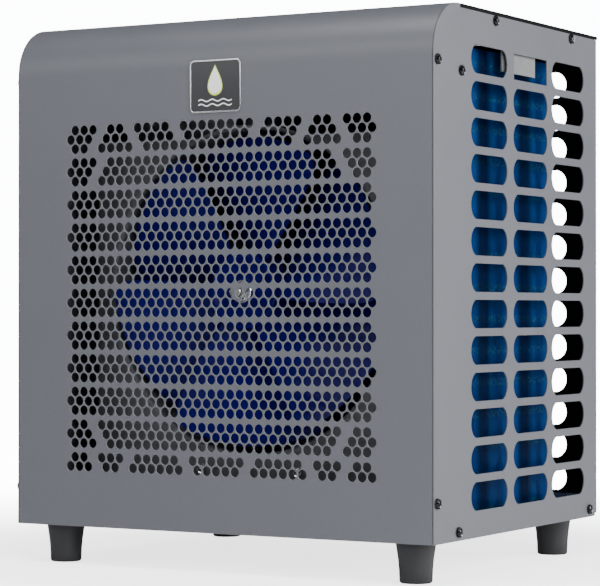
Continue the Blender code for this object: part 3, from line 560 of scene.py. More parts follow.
def makeSide(name, side, node, columns):
    sheet, radius = casing["sheet"], casing["cornerRadius"]
    depth = casing["back"] - casing["front"]
    height = casing["top"] - casing["bottom"]
    shoulder, lipY = height - sheet - 0.0016, radius + coverLook["lipStart"] - 0.0003
    outline = [(0, 0), (depth - 0.006, 0), (depth - 0.006, 0.0025), (depth, 0.0025), (depth, shoulder)]
    outline += [(lipY, shoulder), (lipY, height)]
    outline += arcPoints((radius, height - radius), radius, 90, 180, 20)
    window = [(sideColumns[1] + sx * windowSize[0] / 2, slotLook["top"] + sy * windowSize[1] / 2)
              for sx, sy in ((-1, -1), (1, -1), (1, 1), (-1, 1))]
    holes = [window]
    for centre, rows in columns:
        holes += slotColumn(centre, rows)
    bm = bmesh.new()
    fillSheet(bm, [outline] + holes, lambda u, v: casingPoint(side * casing["x"], u, v), (side, 0, 0))
    piece = makePiece(name, bm, mat["paint"], nodes=[node], sharp=30)
    addWall(piece, sheet)
    addEdge(piece, 0.0003, 2)


def makeBack():
    wide = casing["coverX"]
    height = casing["top"] - casing["bottom"] - casing["sheet"] - 0.0003
    outline = [(-wide, 0), (wide, 0), (wide, 0.021), (wide, 0.380), (wide, height), (-wide, height)]
    outline += [(-wide, 0.380), (-wide, 0.021)]
    holes = [points for centre in backColumns for points in slotColumn(centre, range(slotLook["rows"]))]
    for node in ("water_inlet_port", "water_outlet_port"):
        low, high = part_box(node)
        centre = ((low.x + high.x) / 2, (low.z + high.z) / 2 - casing["bottom"])
        holes.append(circlePoints(centre, 0.0200, 48))
    low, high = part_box("cable_gland")
    holes.append(circlePoints(((low.x + high.x) / 2, (low.z + high.z) / 2 - casing["bottom"]), 0.0080, 32))
    depth = casing["back"] - casing["front"]
    bm = bmesh.new()
    fillSheet(bm, [outline] + holes, lambda u, v: casingPoint(u, depth, v), (0, 1, 0))
    low, high = casing["bottom"] + 0.021 - 1e-5, casing["bottom"] + 0.380 + 1e-5
    for side in (-1, 1):
        edge = openEdges(bm, lambda co: abs(co.x - side * wide) < 1e-5 and low < co.z < high)
        foldEdges(bm, edge, (0, -0.012, 0))
    bmesh.ops.recalc_face_normals(bm, faces=bm.faces)
    bm.faces.ensure_lookup_table()
    if bm.faces[0].normal.y < 0:
        bmesh.ops.reverse_faces(bm, faces=bm.faces[:])
    # the back's inner side is near black: painted shade that darkens the casing's inside seen through the
    # slots
    finish = [mat["paint"], mat["paintedShade"]]
    piece = makePiece("slottedBack", bm, finish, nodes=["back_panel"], sharp=30)
    addWall(piece, casing["sheet"], inner=1)
    addEdge(piece, 0.0003, 2)


makeCover()
allRows = range(slotLook["rows"])
makeSide("slottedSide", 1, "side_panel_right",
         [(sideColumns[0], allRows), (sideColumns[1], range(1, slotLook["rows"])), (sideColumns[2], allRows)])
makeSide("controlSide", -1, "side_panel_left", [(sideColumns[2], range(8, slotLook["rows"]))])
makeBack()
print("casing made")


screwLook = {
    "headRadius": 0.0040, "headHeight": 0.0025, "dome": 0.0048, "crossWide": 0.0009, "crossLong": 0.0046,
    "crossDeep": 0.0014,
}


def screwMesh(shank):
    # a pan head with a crossed recess, its seat at the origin and its shank along -Z
    look = screwLook
    radius, height = look["headRadius"], look["headHeight"]
    head = [(0, height)] + arcPoints((0, height - look["dome"]), look["dome"], 78, 52, 5)
    head += arcPoints((radius - 0.0008, height - 0.0013), 0.0008, 45, 0, 3) + [(radius, 0.0002)]
    head += [(0.0017, 0.0002), (0.0016, -shank), (0, -shank - 0.0012)]
    bm = bmesh.new()
    addTurned(bm, head, Matrix.Identity(4), steps=28)
    solid = bpy.data.meshes.new("screwSolid")
    bm.to_mesh(solid)
    bm.free()
    bm = bmesh.new()
    for turn in (0, 90):
        verts = bmesh.ops.create_cone(
            bm, cap_ends=True, segments=4, radius1=look["crossWide"] * 0.3, radius2=look["crossWide"] * 0.75,
            depth=look["crossDeep"] + 0.001,
        )["verts"]
        grow = Matrix.Diagonal((look["crossLong"] / look["crossWide"], 1, 1, 1))
        grow = grow @ Matrix.Rotation(math.pi / 4, 4, "Z")
        lift = Matrix.Translation((0, 0, height - look["crossDeep"] / 2 + 0.0005))
        bmesh.ops.transform(bm, matrix=Matrix.Rotation(math.radians(turn), 4, "Z") @ lift @ grow, verts=verts)
    cross = bpy.data.meshes.new("screwCross")
    bm.to_mesh(cross)
    bm.free()
    body = bpy.data.objects.new("screwBody", solid)
    cutter = bpy.data.objects.new("screwCutter", cross)
    for part in (body, cutter):
        bpy.context.scene.collection.objects.link(part)
    cut = body.modifiers.new("Cross", "BOOLEAN")
    cut.operation = "DIFFERENCE"
    cut.use_self = True
    cut.object = cutter
    bpy.context.view_layer.update()
    mesh = bpy.data.meshes.new_from_object(body.evaluated_get(bpy.context.evaluated_depsgraph_get()))
    for part in (body, cutter):
        bpy.data.objects.remove(part, do_unlink=True)
    return mesh


def makeScrew(name, mesh, place, finish, nodes=()):
    bm = bmesh.new()
    bm.from_mesh(mesh)
    bmesh.ops.transform(bm, matrix=place, verts=bm.verts)
    return makePiece(name, bm, finish, nodes=nodes, sharp=30)


longScrew, shortScrew = screwMesh(0.0068), screwMesh(0.0005)
for side, word in ((1, "right"), (-1, "left")):
    for i, (where, (depth, height)) in enumerate(screwPlaces.items()):
        node = f"screw_{word}_{where}"
        if node in frame["nodes"]:
            spin = Matrix.Rotation(math.radians(17 + 41 * i), 4, "Z")
            place = Matrix.Translation(casingPoint(side * casing["x"], depth, height))
            place = place @ Matrix.Rotation(side * math.pi / 2, 4, "Y") @ spin
            name = f"caseScrew_{word}_{where}"
            makeScrew(name, longScrew, place, mat["blackNickel"], [node])
for side, word in ((1, "right"), (-1, "left")):
    node = f"shroud_screw_{word}"
    place = Matrix.Translation(casingPoint(middleOf(node).x, 0.050, 0.046))
    place = place @ Matrix.Rotation(math.pi / 2, 4, "X")
    makeScrew(f"plateScrew_{word}", longScrew, place, mat["brightZinc"], [node])
backDepth = casing["back"] - casing["front"]
for i, (x, height) in enumerate([(sx * 0.176, z) for sx in (-1, 1) for z in (0.012, 0.150, 0.290, 0.388)]):
    spin = Matrix.Rotation(math.radians(29 * i), 4, "Z")
    place = Matrix.Translation(casingPoint(x, backDepth, height)) @ backTurn @ spin
    makeScrew(f"backScrew_{i + 1}", shortScrew, place, mat["blackNickel"])
print("screws made")


footLook = {"bore": 0.0026, "recess": 0.0060, "recessDeep": 0.020, "topRadius": 0.0153, "footRadius": 0.0123}


def makeFoot(node):
    low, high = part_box(node)
    top, look = high.z, footLook
    outer = [(look["bore"], top), (look["topRadius"] - 0.0004, top), (look["topRadius"], top - 0.0005)]
    outer += [(0.0144, top - 0.006)]
    outer += [(0.0134, top - 0.013), (0.0127, 0.010), (look["footRadius"] + 0.0001, 0.0016)]
    outer += [(look["footRadius"] - 0.0002, 0.0006), (look["footRadius"] - 0.0010, 0), (look["recess"], 0)]
    outer += [(look["recess"], look["recessDeep"]), (look["bore"], look["recessDeep"])]
    bm = bmesh.new()
    place = Matrix.Translation(((low.x + high.x) / 2, (low.y + high.y) / 2, 0))
    addTurned(bm, outer, place, steps=64, closed=True)
    makePiece("rubber_" + node, bm, mat["rubber"], nodes=[node], sharp=50)


for node in ("foot_front_left", "foot_front_right", "foot_rear_left", "foot_rear_right"):
    makeFoot(node)
print("feet made")


fanLook = {
    "blades": 6,
    "firstAngle": -10,
    "spread": 67,
    "root": 0.0285,
    "tip": 0.1215,
    "near": 0.042,  # depth of the near edges behind the front face
    "deep": 0.031,
    "thickness": 0.0019,
    "sweep": 6,
}


def addBlade(bm, angle):
    look = fanLook
    grid = bmesh.ops.create_grid(bm, x_segments=16, y_segments=16, size=0.5)["verts"]
    for vert in grid:
        part, turn = vert.co.x + 0.5, vert.co.y + 0.5
        radius = look["root"] + (look["tip"] - look["root"]) * part
        clip = 4 * max(0.0, (part - 0.82) / 0.18) ** 3 + 3 * max(0.0, (0.12 - part) / 0.12) ** 2
        span = look["spread"] - 4 * part - 2 * clip
        theta = math.radians(angle + look["sweep"] * part + clip + span * turn)
        bow = 0.0045 * math.sin(math.pi * turn) * (0.5 + 0.5 * part)
        depth = look["near"] + 0.0008 + look["deep"] * turn - bow
        x, z = radius * math.cos(theta), radius * math.sin(theta)
        vert.co = Vector((x, casing["front"] + depth, casing["fanZ"] + z))
    faces = list({face for vert in grid for face in vert.link_faces})
    bmesh.ops.recalc_face_normals(bm, faces=faces)
    bmesh.ops.solidify(bm, geom=faces, thickness=look["thickness"])


def makeFan():
    bm = bmesh.new()
    for i in range(fanLook["blades"]):
        addBlade(bm, fanLook["firstAngle"] + 360 / fanLook["blades"] * i)
    place = alongY(0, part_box("fan")[0].y, casing["fanZ"])
    # the hub's boss, its dished front, its rolled rim and its skirt
    hub = [(0.0043, 0.0003), (0.0100, 0.0003), (0.0112, 0.0010), (0.0125, 0.0036)]
    hub += [(0.0240, 0.0036), (0.0262, 0.0014), (0.0270, 0.0003), (0.0288, 0.0003), (0.0298, 0.0013)]
    hub += [(0.0300, 0.0410), (0.0276, 0.0410), (0.0272, 0.0070), (0.0120, 0.0070)]
    hub += [(0.0100, 0.0090), (0.0100, 0.0370), (0.0043, 0.0370)]
    addTurned(bm, hub, place, steps=72, closed=True)
    addRibs(bm, place, 12, (0.0100, -0.0006, 0.0060), (0.0274, 0.0006, 0.0330))
    between = place @ Matrix.Rotation(math.tau / 12, 4, "Z")
    addRibs(bm, between, 6, (0.0105, -0.0007, 0.0020), (0.0262, 0.0007, 0.0040))
    makePiece("bladedFan", bm, mat["fanPlastic"], "fan_rotor", ["fan"], sharp=40)


def makeDrive():
    low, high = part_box("motor_shaft")
    bm = bmesh.new()
    place = alongY(0, low.y, casing["fanZ"])
    length = high.y - low.y
    addTurned(bm, [(0, 0), (0.0034, 0), (0.0040, 0.0006), (0.0040, length), (0, length)], place, steps=32)
    makePiece("fanShaft", bm, mat["turnedSteel"], "fan_rotor", ["motor_shaft"])
    low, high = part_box("fan_washer")
    bm = bmesh.new()
    place = alongY(0, low.y, casing["fanZ"])
    thick = high.y - low.y
    ring = [(0.0043, 0.0001), (0.0087, 0.0001), (0.0090, 0.0004), (0.0090, thick), (0.0043, thick)]
    addTurned(bm, ring, place, steps=48, closed=True)
    makePiece("fanWasher", bm, mat["brightZinc"], "fan_rotor", ["fan_washer"])
    low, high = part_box("fan_nut")
    bm = bmesh.new()
    place = alongY(0, low.y, casing["fanZ"])
    thick = high.y - low.y
    loops = [circlePoints((0, 0), 0.0074, 6), circlePoints((0, 0), 0.0045, 24)]
    faces = fillSheet(bm, loops, lambda u, v: Vector((u, v, thick)), (0, 0, 1))
    bmesh.ops.solidify(bm, geom=faces, thickness=thick)
    bmesh.ops.recalc_face_normals(bm, faces=bm.faces)
    bmesh.ops.transform(bm, matrix=place, verts=bm.verts)
    nut = makePiece("shaftNut", bm, mat["brightZinc"], "fan_rotor", ["fan_nut"])
    addEdge(nut, 0.0004, 3, 30)
    low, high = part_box("fan_motor")
    place = alongY(0, low.y, casing["fanZ"])
    length = high.y - low.y
    # its rear cap and seam, its body, its front cap and the blind bore for the shaft
    motor = [(0, length), (0.0120, length), (0.0300, length - 0.0002), (0.0380, length - 0.0010)]
    motor += [(0.0412, length - 0.0060), (0.0412, length - 0.0200), (0.0420, length - 0.0210)]
    motor += [(0.0420, length - 0.0240), (0.0412, length - 0.0250), (0.0412, 0.0110), (0.0380, 0.0050)]
    motor += [(0.0360, 0.0036), (0.0130, 0.0036), (0.0120, 0.0030), (0.0120, 0.0002)]
    motor += [(0.0046, 0.0002), (0.0046, 0.0240), (0, 0.0240)]
    bm = bmesh.new()
    addTurned(bm, motor, place, steps=64)
    addRibs(bm, place, 24, (0.0400, -0.0008, 0.0120), (0.0420, 0.0008, length - 0.0265))
    makePiece("finnedMotor", bm, mat["blackEnamel"], nodes=["fan_motor"])


shroudLook = {
    "depth": 0.050,  # of the plate behind the front face
    "lip": 0.004, "radius": 0.1272, "length": 0.045, "top": 0.308, "ear": (0.338, 0.362), "earWide": 0.022,
    "folds": (0.010, 0.012),  # the flanges of its left and right edges
}


def makeShroud():
    look = shroudLook
    low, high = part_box("fan_shroud")
    plateY, sheet, lip = casing["front"] + look["depth"], casing["sheet"], look["lip"]
    radius, length = look["radius"], look["length"]
    left, right, bottom, top = low.x, high.x, low.z, casing["bottom"] + look["top"]
    earLow, earHigh = [casing["bottom"] + height for height in look["ear"]]
    inset = right - look["earWide"]
    mouth = radius + lip
    breakX = math.sqrt(mouth**2 - (top - casing["fanZ"]) ** 2)
    start = math.degrees(math.acos(breakX / mouth))
    outline = [(left, bottom), (right, bottom), (right, earLow), (right, earHigh)]
    outline += [(inset, earHigh), (inset, top)]
    outline += arcPoints((0, casing["fanZ"]), mouth, start, -180 - start, 96) + [(left, top)]
    bm = bmesh.new()
    fillSheet(bm, [outline], lambda u, v: Vector((u, plateY, v)), (0, -1, 0))
    leftFold, rightFold = look["folds"]
    for x, fold, start, end in ((left, leftFold, bottom, top), (right, -rightFold, earLow, earHigh)):
        edge = openEdges(bm, lambda co: abs(co.x - x) < 1e-5 and start - 1e-5 < co.z < end + 1e-5)
        foldEdges(bm, edge, (0, fold, 0))
    bmesh.ops.recalc_face_normals(bm, faces=bm.faces)
    bm.faces.ensure_lookup_table()
    if bm.faces[0].normal.y > 0:
        bmesh.ops.reverse_faces(bm, faces=bm.faces[:])
    plate = makePiece("shroudPlate", bm, mat["shroudPaint"], nodes=["fan_shroud"])
    addWall(plate, sheet)
    ring = [(mouth, 0.0)] + arcPoints((mouth, lip), lip, 270, 180, 6)
    ring += [(radius, length), (radius + sheet, length)]
    ring += arcPoints((mouth, lip + 0.0001), lip - sheet, 180, 270, 6) + [(mouth, sheet)]
    bm = bmesh.new()
    addTurned(bm, ring, alongY(0, plateY, casing["fanZ"]), steps=120, closed=True)
    makePiece("shroudRing", bm, mat["shroudPaint"], nodes=["shroud_ring"], sharp=40)


makeFan()
makeDrive()
makeShroud()
print("fan made")


coilLook = {
    "finPitch": 0.0017,
    "finThick": 0.00022,
    "depth": 0.022,
    "bend": 0.069,  # radius of its outer face where it turns the rear corner
    "tubeRadius": 0.0038,
    "tubeRows": 15,
    "tubeSides": 10,
}


def coilPath(distance):
    # a place and a heading along the coil's middle, from its front end round the rear corner
    low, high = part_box("evaporator_fins")
    depth = coilLook["depth"]
    middle = coilLook["bend"] - depth / 2
    centre = Vector((high.x - coilLook["bend"], high.y - coilLook["bend"], 0))
    side = centre.y - low.y
    if distance < side:
        return Vector((high.x - depth / 2, low.y + distance, 0)), 90.0
    turned = math.degrees((distance - side) / middle)
    if turned < 90:
        angle = math.radians(turned)
        return centre + Vector((middle * math.cos(angle), middle * math.sin(angle), 0)), 90 + turned
    rest = distance - side - middle * math.pi / 2
    return Vector((centre.x - rest, high.y - depth / 2, 0)), 180.0


def coilLength():
    low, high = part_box("evaporator_fins")
    bend, depth = coilLook["bend"], coilLook["depth"]
    return (high.y - bend - low.y) + (bend - depth / 2) * math.pi / 2 + (high.x - bend - low.x)


def makeCoil():
    low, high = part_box("evaporator_fins")
    length, look = coilLength(), coilLook
    count = int(length / look["finPitch"])
    bm = bmesh.new()
    for i in range(count):
        place, heading = coilPath((i + 0.5) * length / count)
        thick, deep = look["finThick"] / 2, look["depth"] / 2
        fin = addBox(bm, (-thick, -deep, low.z), (thick, deep, high.z))
        turn = Matrix.Rotation(math.radians(heading), 4, "Z")
        bmesh.ops.transform(bm, matrix=Matrix.Translation(place) @ turn, verts=fin)
    makePiece("coilFins", bm, mat["finBlue"], nodes=["evaporator_fins"])
    bm = bmesh.new()
    pitch = (high.z - low.z) / look["tubeRows"]
    for row in range(look["tubeRows"]):
        z = low.z + (row + 0.5) * pitch
        stations = [0.0008] + [length * i / 40 for i in range(1, 40)] + [length - 0.0008]
        rings = []
        for distance in stations:
            place, heading = coilPath(distance)
            turn = Matrix.Rotation(math.radians(heading), 4, "Z") @ Matrix.Rotation(math.pi / 2, 4, "Y")
            loop = bmesh.ops.create_circle(
                bm, segments=look["tubeSides"], radius=look["tubeRadius"],
                matrix=Matrix.Translation(place + Vector((0, 0, z))) @ turn,
            )["verts"]
            rings.append(list({edge for vert in loop for edge in vert.link_edges}))
        for before, after in zip(rings, rings[1:]):
            bmesh.ops.bridge_loops(bm, edges=before + after)
        for end in (rings[0], rings[-1]):
            bmesh.ops.edgeloop_fill(bm, edges=end)
    bmesh.ops.recalc_face_normals(bm, faces=bm.faces)
    makePiece("coilTubes", bm, mat["copper"])


makeCoil()
print("coil made")


# inner pieces keep the frame's shapes, with merged points and smoothed rounds
innerPieces = {
    "motor_bracket": "blackEnamel", "coil_end_plate": "galvanised", "compressor": "blackEnamel",
    "accumulator": "blackEnamel", "heat_exchanger": "greyPlastic",
    "discharge_pipe": "copper", "suction_pipe": "copper", "liquid_pipe": "copper",
    "coil_inlet_pipe": "copper", "expansion_valve": "brass", "control_box": "galvanised",
    "control_board": "board", "base_pan": "galvanised", "sensor_bracket": "paleSteel",
}


def makeInner(node, finish):
    source = frame["nodes"][node]
    bm = bmesh.new()
    bm.from_mesh(source.data)
    bmesh.ops.remove_doubles(bm, verts=bm.verts, dist=1e-6)
    body = source["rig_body"]
    return makePiece("smooth_" + node, bm, mat[finish], body, [node], sharp=40)


for node, finish in innerPieces.items():
    makeInner(node, finish)
print("inner pieces made")


unionLook = {
    "bore": 0.0130, "neck": 0.0190, "threadPitch": 0.0026, "threadDeep": 0.0011, "flange": 0.0240,
    "nutRadius": 0.0272, "ribs": 16, "ribWide": 0.0030,
}


def makePort(node):
    look = unionLook
    low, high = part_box(node)
    centre = middleOf(node)
    place = alongY(centre.x, 0, centre.z)
    wall = casing["back"]
    bore, neck, flange = look["bore"], look["neck"], look["flange"]
    root = neck - look["threadDeep"]
    profile = [(bore, low.y), (0.0170, low.y), (0.0170, wall - 0.0045), (flange - 0.0006, wall - 0.0045)]
    profile += [(flange, wall - 0.0039), (flange, wall - 0.0021), (flange - 0.0006, wall - 0.0015)]
    profile += [(root, wall - 0.0015), (root, wall + 0.0030)]
    ridge = wall + 0.0034
    while ridge < high.y - 0.0030:
        profile += [(neck, ridge), (neck, ridge + 0.0007), (root, ridge + 0.0013), (root, ridge + 0.0019)]
        ridge += look["threadPitch"]
    profile += [(neck - 0.0008, high.y - 0.0006), (neck - 0.0014, high.y), (bore + 0.0006, high.y)]
    profile += [(bore, high.y - 0.0006)]
    bm = bmesh.new()
    addTurned(bm, profile, place, steps=64, closed=True)
    makePiece("threaded_" + node, bm, mat["greyPlastic"], nodes=[node], sharp=40)


def makeUnionNut(node, body):
    look = unionLook
    low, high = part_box(node)
    centre = middleOf(node)
    place = alongY(centre.x, 0, centre.z)
    outer = look["nutRadius"]
    profile = [(0.0196, low.y), (outer - 0.0008, low.y), (outer, low.y + 0.0010), (outer, high.y - 0.0042)]
    profile += [(outer - 0.0012, high.y - 0.0012), (outer - 0.0026, high.y), (0.0204, high.y)]
    profile += [(0.0196, high.y - 0.0008)]
    bm = bmesh.new()
    addTurned(bm, profile, place, steps=64, closed=True)
    wide = look["ribWide"] / 2
    ribLow, ribHigh = (outer - 0.0010, -wide, low.y + 0.0016), (outer + 0.0016, wide, high.y - 0.0040)
    addRibs(bm, place, look["ribs"], ribLow, ribHigh)
    nut = makePiece("ribbed_" + node, bm, mat["blackPlastic"], body, [node], sharp=40)
    addEdge(nut, 0.0004, 2, 50)


def makeGland():
    node = "cable_gland"
    (low, high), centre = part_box(node), middleOf(node)
    place = alongY(centre.x, 0, centre.z)
    wall = casing["back"]
    bm = bmesh.new()
    profile = [(0.0040, low.y), (0.0075, low.y), (0.0075, wall + 0.0003), (0.0118, wall + 0.0003)]
    profile += [(0.0118, wall + 0.0018), (0.0096, wall + 0.0022), (0.0096, wall + 0.0085)]
    profile += [(0.0102, wall + 0.0090), (0.0100, wall + 0.0160), (0.0090, wall + 0.0195)]
    profile += [(0.0070, high.y - 0.0003), (0.0052, high.y), (0.0040, high.y - 0.0010)]
    addTurned(bm, profile, place, steps=48, closed=True)
    bmesh.ops.create_cone(
        bm, cap_ends=True, segments=6, radius1=0.0118, radius2=0.0118, depth=0.0050,
        matrix=place @ Matrix.Translation((0, 0, wall + 0.0048)),
    )
    addRibs(bm, place, 18, (0.0094, -0.0005, wall + 0.0098), (0.0107, 0.0005, wall + 0.0165))
    finish = mat["blackPlastic"]
    gland = makePiece("domedGland", bm, finish, nodes=["cable_gland"], sharp=40)
    addEdge(gland, 0.0003, 2, 50)


def makeNipple():
    low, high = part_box("drain_nipple")
    centre = middleOf("drain_nipple")
    place = Matrix.Translation((centre.x, centre.y, 0))
    profile = [(0.0050, high.z), (0.0126, high.z), (0.0130, high.z - 0.0004), (0.0130, high.z - 0.0020)]
    profile += [(0.0080, high.z - 0.0020), (0.0080, high.z - 0.0060)]
    base = high.z - 0.0085
    while base > low.z + 0.0012:
        profile += [(0.0085, base + 0.0002), (0.0085, base - 0.0004), (0.0073, base - 0.0030)]
        base -= 0.0034
    profile += [(0.0070, low.z), (0.0054, low.z), (0.0050, low.z + 0.0004)]
    bm = bmesh.new()
    addTurned(bm, profile, place, steps=48, closed=True)
    makePiece("barbedNipple", bm, mat["blackPlastic"], nodes=["drain_nipple"], sharp=40)


for word in ("inlet", "outlet"):
    makePort(f"water_{word}_port")
    makeUnionNut(f"{word}_union_nut", f"{word}_nut")
makeGland()
makeNipple()


panelLook = {
    "reading": "26", "digitTall": 0.0070, "digitWide": 0.0036, "stroke": 0.0008, "gap": 0.0014,
    "lift": 0.00005,  # how far a button's mark sits below its face
}
segmentSets = {"2": "abged", "6": "afgedc"}  # the bars that each digit lights


def segmentBoxes(key):
    # low and high corners of one bar of a digit, measured from the digit's middle
    wide, tall, stroke = panelLook["digitWide"] / 2, panelLook["digitTall"] / 2, panelLook["stroke"]
    bars = {
        "a": ((-wide, tall - stroke), (wide, tall)), "g": ((-wide, -stroke / 2), (wide, stroke / 2)),
        "d": ((-wide, -tall), (wide, -tall + stroke)), "f": ((-wide, 0.0002), (-wide + stroke, tall)),
        "b": ((wide - stroke, 0.0002), (wide, tall)), "e": ((-wide, -tall), (-wide + stroke, -0.0002)),
        "c": ((wide - stroke, -tall), (wide, -0.0002)),
    }
    return bars[key]


def addFlatBar(bm, face, centre, low, high, out=0.0002):
    # u runs to the reader's right, which is -Y on the left side
    addBox(
        bm,
        (face - out, centre[0] - high[0], centre[1] + low[1]),
        (face + 0.0002, centre[0] - low[0], centre[1] + high[1]),
    )


def makeController():
    bm = bmesh.new()
    bm.from_mesh(frame["nodes"]["controller_bezel"].data)
    bmesh.ops.remove_doubles(bm, verts=bm.verts, dist=1e-6)
    finish = mat["blackPlastic"]
    nodes = ["controller_bezel"]
    bezel = makePiece("controllerFrame", bm, finish, nodes=nodes, sharp=30)
    addEdge(bezel, 0.0004, 2, 60)
    low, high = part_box("display_lens")
    bm = bmesh.new()
    addBox(bm, low, high)
    lens = makePiece("displayWindow", bm, mat["window"], nodes=["display_lens"])
    addEdge(lens, 0.0003, 2, 60)
    middle = (low + high) / 2
    bm = bmesh.new()
    step = panelLook["digitWide"] + panelLook["gap"]
    for i, digit in enumerate(panelLook["reading"]):
        for key in segmentSets[digit]:
            first, last = segmentBoxes(key)
            addFlatBar(bm, low.x, (middle.y + 0.0022 - (i - 0.5) * step, middle.z), first, last)
    for rise in (0.0022, -0.0022):
        addFlatBar(bm, low.x, (middle.y - 0.0078, middle.z + rise), (-0.0004, -0.0004), (0.0004, 0.0004))
    makePiece("displayDigits", bm, mat["digit"])


def makeButton(node):
    low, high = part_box(node)
    centre = (low + high) / 2
    place = Matrix.Translation((0, centre.y, centre.z)) @ sideTurn
    profile = [(0, high.x), (0.0040, high.x), (0.0042, high.x - 0.0002), (0.0042, high.x - 0.0012)]
    profile += [(0.0034, high.x - 0.0012), (0.0034, low.x + 0.0006), (0.0031, low.x + 0.0002)]
    profile += [(0.0026, low.x), (0, low.x + 0.0002)]
    bm = bmesh.new()
    addTurned(bm, profile, place, steps=40)
    makePiece("cap_" + node, bm, mat["greyPlastic"], node, [node], sharp=40)
    bm = bmesh.new()
    spot = (centre.y, centre.z)
    face = low.x + panelLook["lift"]
    turn = 1 if node == "button_up" else -1
    loops = [[(-0.0014, -0.0008 * turn), (0.0014, -0.0008 * turn), (0, 0.0014 * turn)]]
    if node == "button_power":
        loops = [circlePoints((0, 0), 0.0016, 28), circlePoints((0, 0), 0.0012, 28)]
    faces = fillSheet(bm, loops, lambda u, v: Vector((face, spot[0] - u, spot[1] + v)), (-1, 0, 0))
    bmesh.ops.solidify(bm, geom=faces, thickness=0.0003)
    if node == "button_power":
        addFlatBar(bm, face, spot, (-0.0002, 0.0004), (0.0002, 0.0022), 0.0)
    bmesh.ops.recalc_face_normals(bm, faces=bm.faces)
    makePiece("mark_" + node, bm, mat["badgeWhite"], node)


makeController()
for node in ("button_power", "button_down", "button_up"):
    makeButton(node)
print("fittings and controller made")


badgeLook = {
    "corner": 0.004, "rim": 0.0011, "raise": 0.00025, "drop": 0.0105, "halo": 0.0014, "dropLift": 0.0045,
    "waves": (-0.0105, -0.0140), "waveLength": 0.010, "waveCount": 3, "waveRise": 0.0008, "waveThick": 0.0009,
}


def dropPoints(centre, size, steps=28):
    # a water drop: a round belly under a point
    points = []
    for i in range(steps):
        t = math.tau * i / steps
        across = 0.78 * math.sin(t) * math.sin(t / 2) ** 1.4
        points.append((centre[0] + size * across, centre[1] + size * math.cos(t)))
    return points


def makeBadge():
    low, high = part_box("badge_plate")
    x, z = 0, (low.z + high.z) / 2
    wide, tall = high.x - low.x, high.z - low.z
    look = badgeLook

    def layer(name, loops, front, back, finish, edge=0.0):
        bm = bmesh.new()
        fillSheet(bm, loops, lambda u, v: Vector((u, front, v)), (0, -1, 0))
        nodes = ["badge_plate"] if name == "badgeRim" else ()
        piece = makePiece(name, bm, finish, nodes=nodes)
        addWall(piece, back - front)
        if edge:
            addEdge(piece, edge, 2, 50)

    rim = roundedRect((x, z), wide, tall, look["corner"])
    inner = roundedRect((x, z), wide - 2 * look["rim"], tall - 2 * look["rim"], look["corner"] - look["rim"])
    layer("badgeRim", [rim, inner], low.y, high.y, mat["brightZinc"], 0.0002)
    face = low.y + look["raise"]
    inside = 2 * look["rim"] + 0.0001
    panel = roundedRect((x, z), wide - inside, tall - inside, look["corner"] - look["rim"])
    layer("badgeFace", [panel], face, high.y, mat["badgeDark"])
    spot = (x, z + look["dropLift"])
    halo = dropPoints(spot, look["drop"] + look["halo"])
    layer("badgeHalo", [halo], face - 0.0001, face + 0.0002, mat["badgeLime"])
    layer("badgeDrop", [dropPoints(spot, look["drop"])], face - 0.0002, face + 0.0001, mat["badgeWhite"])
    steps, length = 32, look["waveLength"] * look["waveCount"]
    for i, rise in enumerate(look["waves"]):
        top = []
        for k in range(steps + 1):
            swell = look["waveRise"] * math.sin(math.tau * look["waveCount"] * k / steps)
            top.append((x - length / 2 + length * k / steps, z + rise + swell))
        under = [(u, v - look["waveThick"]) for u, v in reversed(top)]
        layer(f"badgeWave_{i + 1}", [top + under], face - 0.00015, face + 0.0001, mat["badgeWhite"])


makeBadge()
print("badge made")

stageLook = {
    "floor": (0.92, 0.92, 0.93), "backdrop": 14.0, "ambient": 0.16,
    "floorLift": (0.22, 1.0, 2.5, 14.0),  # from and to these distances, from and to these strengths
    # each light's place, target, size and power
    "sideLight": ((2.1, 1.3, 0.7), (0.18, 0, 0.2), (0.42, 1.2), 54),
    "rimLight": ((2.0, -1.1, 0.9), (0.1, -0.1, 0.2), (0.7, 1.2), 52),
    "frontLight": ((-1.2, -2.6, 1.4), (0, -0.1, 0.2), (1.6, 1.4), 24),
    "topLight": ((0.0, -0.9, 2.4), (0, -0.1, 0.4), (1.6, 1.0), 52),
}
cameraLook = {
    "lens": 145.1, "shift": (-0.0002, 0.0029),
    "place": (0.98442, -1.72308, 0.17118),  # from the middle of the casing's bottom edge
    "tilt": 0.373, "heading": 30.035,
}


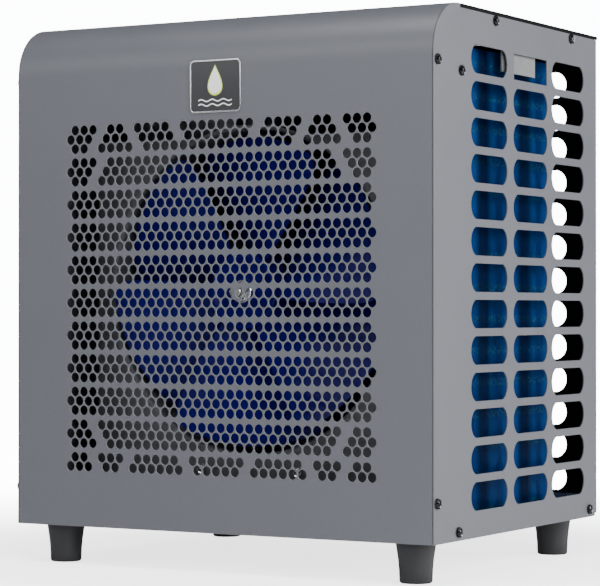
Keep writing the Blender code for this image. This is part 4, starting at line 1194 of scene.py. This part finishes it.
def makeStage():
    bm = bmesh.new()
    bmesh.ops.create_grid(bm, x_segments=1, y_segments=1, size=6)
    mesh = bpy.data.meshes.new("floor")
    bm.to_mesh(mesh)
    bm.free()
    floor = bpy.data.objects.new("floor", mesh)
    bpy.context.scene.collection.objects.link(floor)
    paper = makeFinish("floorPaper", {
        "colour": stageLook["floor"], "roughness": (0.7, 0.8), "spread": 0.01, "grain": 0.05,
    })
    # seen straight on, the paper is lifted towards the white of the backdrop
    tree = paper.node_tree
    seen = nodeOf(tree, "ShaderNodeLightPath")
    spot = nodeOf(tree, "ShaderNodeTexCoord")
    away = nodeOf(tree, "ShaderNodeVectorMath", operation="LENGTH")
    tree.links.new(spot.outputs["Object"], away.inputs[0])
    reach = nodeOf(tree, "ShaderNodeMapRange", interpolation_type="SMOOTHSTEP")
    for key, value in zip(("From Min", "From Max", "To Min", "To Max"), stageLook["floorLift"]):
        reach.inputs[key].default_value = value
    tree.links.new(away.outputs["Value"], reach.inputs["Value"])
    lift = nodeOf(tree, "ShaderNodeMath", operation="MULTIPLY")
    tree.links.new(reach.outputs["Result"], lift.inputs[1])
    tree.links.new(seen.outputs["Is Camera Ray"], lift.inputs[0])
    shader = tree.nodes["Principled BSDF"]
    shader.inputs["Emission Color"].default_value = (1, 1, 1, 1)
    tree.links.new(lift.outputs["Value"], shader.inputs["Emission Strength"])
    mesh.materials.append(paper)
    world = bpy.data.worlds.new("studio")
    bpy.context.scene.world = world
    world.use_nodes = True
    tree = world.node_tree
    ambient = tree.nodes["Background"]
    ambient.inputs["Color"].default_value = (0.93, 0.96, 1.0, 1)
    seen = nodeOf(tree, "ShaderNodeLightPath")
    level = nodeOf(tree, "ShaderNodeMapRange")
    level.inputs["To Min"].default_value = stageLook["ambient"]
    level.inputs["To Max"].default_value = stageLook["backdrop"]
    tree.links.new(seen.outputs["Is Camera Ray"], level.inputs["Value"])
    tree.links.new(level.outputs["Result"], ambient.inputs["Strength"])


def addLight(name, place, target, size, power):
    data = bpy.data.lights.new(name, "AREA")
    data.shape = "RECTANGLE"
    data.size, data.size_y = size
    data.energy = power
    light = bpy.data.objects.new(name, data)
    bpy.context.scene.collection.objects.link(light)
    light.location = place
    light.rotation_mode = "QUATERNION"
    light.rotation_quaternion = (Vector(target) - Vector(place)).to_track_quat("-Z", "Y")


def makeCamera():
    # the casing seen from its front right, a little below its middle, with a long lens
    centre = Vector((0, (casing["front"] + casing["back"]) / 2, casing["bottom"]))
    data = bpy.data.cameras.new("camera")
    data.lens = cameraLook["lens"]
    data.sensor_width = 36
    data.shift_x, data.shift_y = cameraLook["shift"]
    data.clip_end = 50
    camera = bpy.data.objects.new("camera", data)
    bpy.context.scene.collection.objects.link(camera)
    camera.location = centre + Vector(cameraLook["place"])
    camera.rotation_euler = (math.radians(90 + cameraLook["tilt"]), 0, math.radians(cameraLook["heading"]))
    bpy.context.scene.camera = camera


makeStage()
for name in ("sideLight", "rimLight", "frontLight", "topLight"):
    addLight(name, *stageLook[name])
makeCamera()
print("stage, lights and camera made")
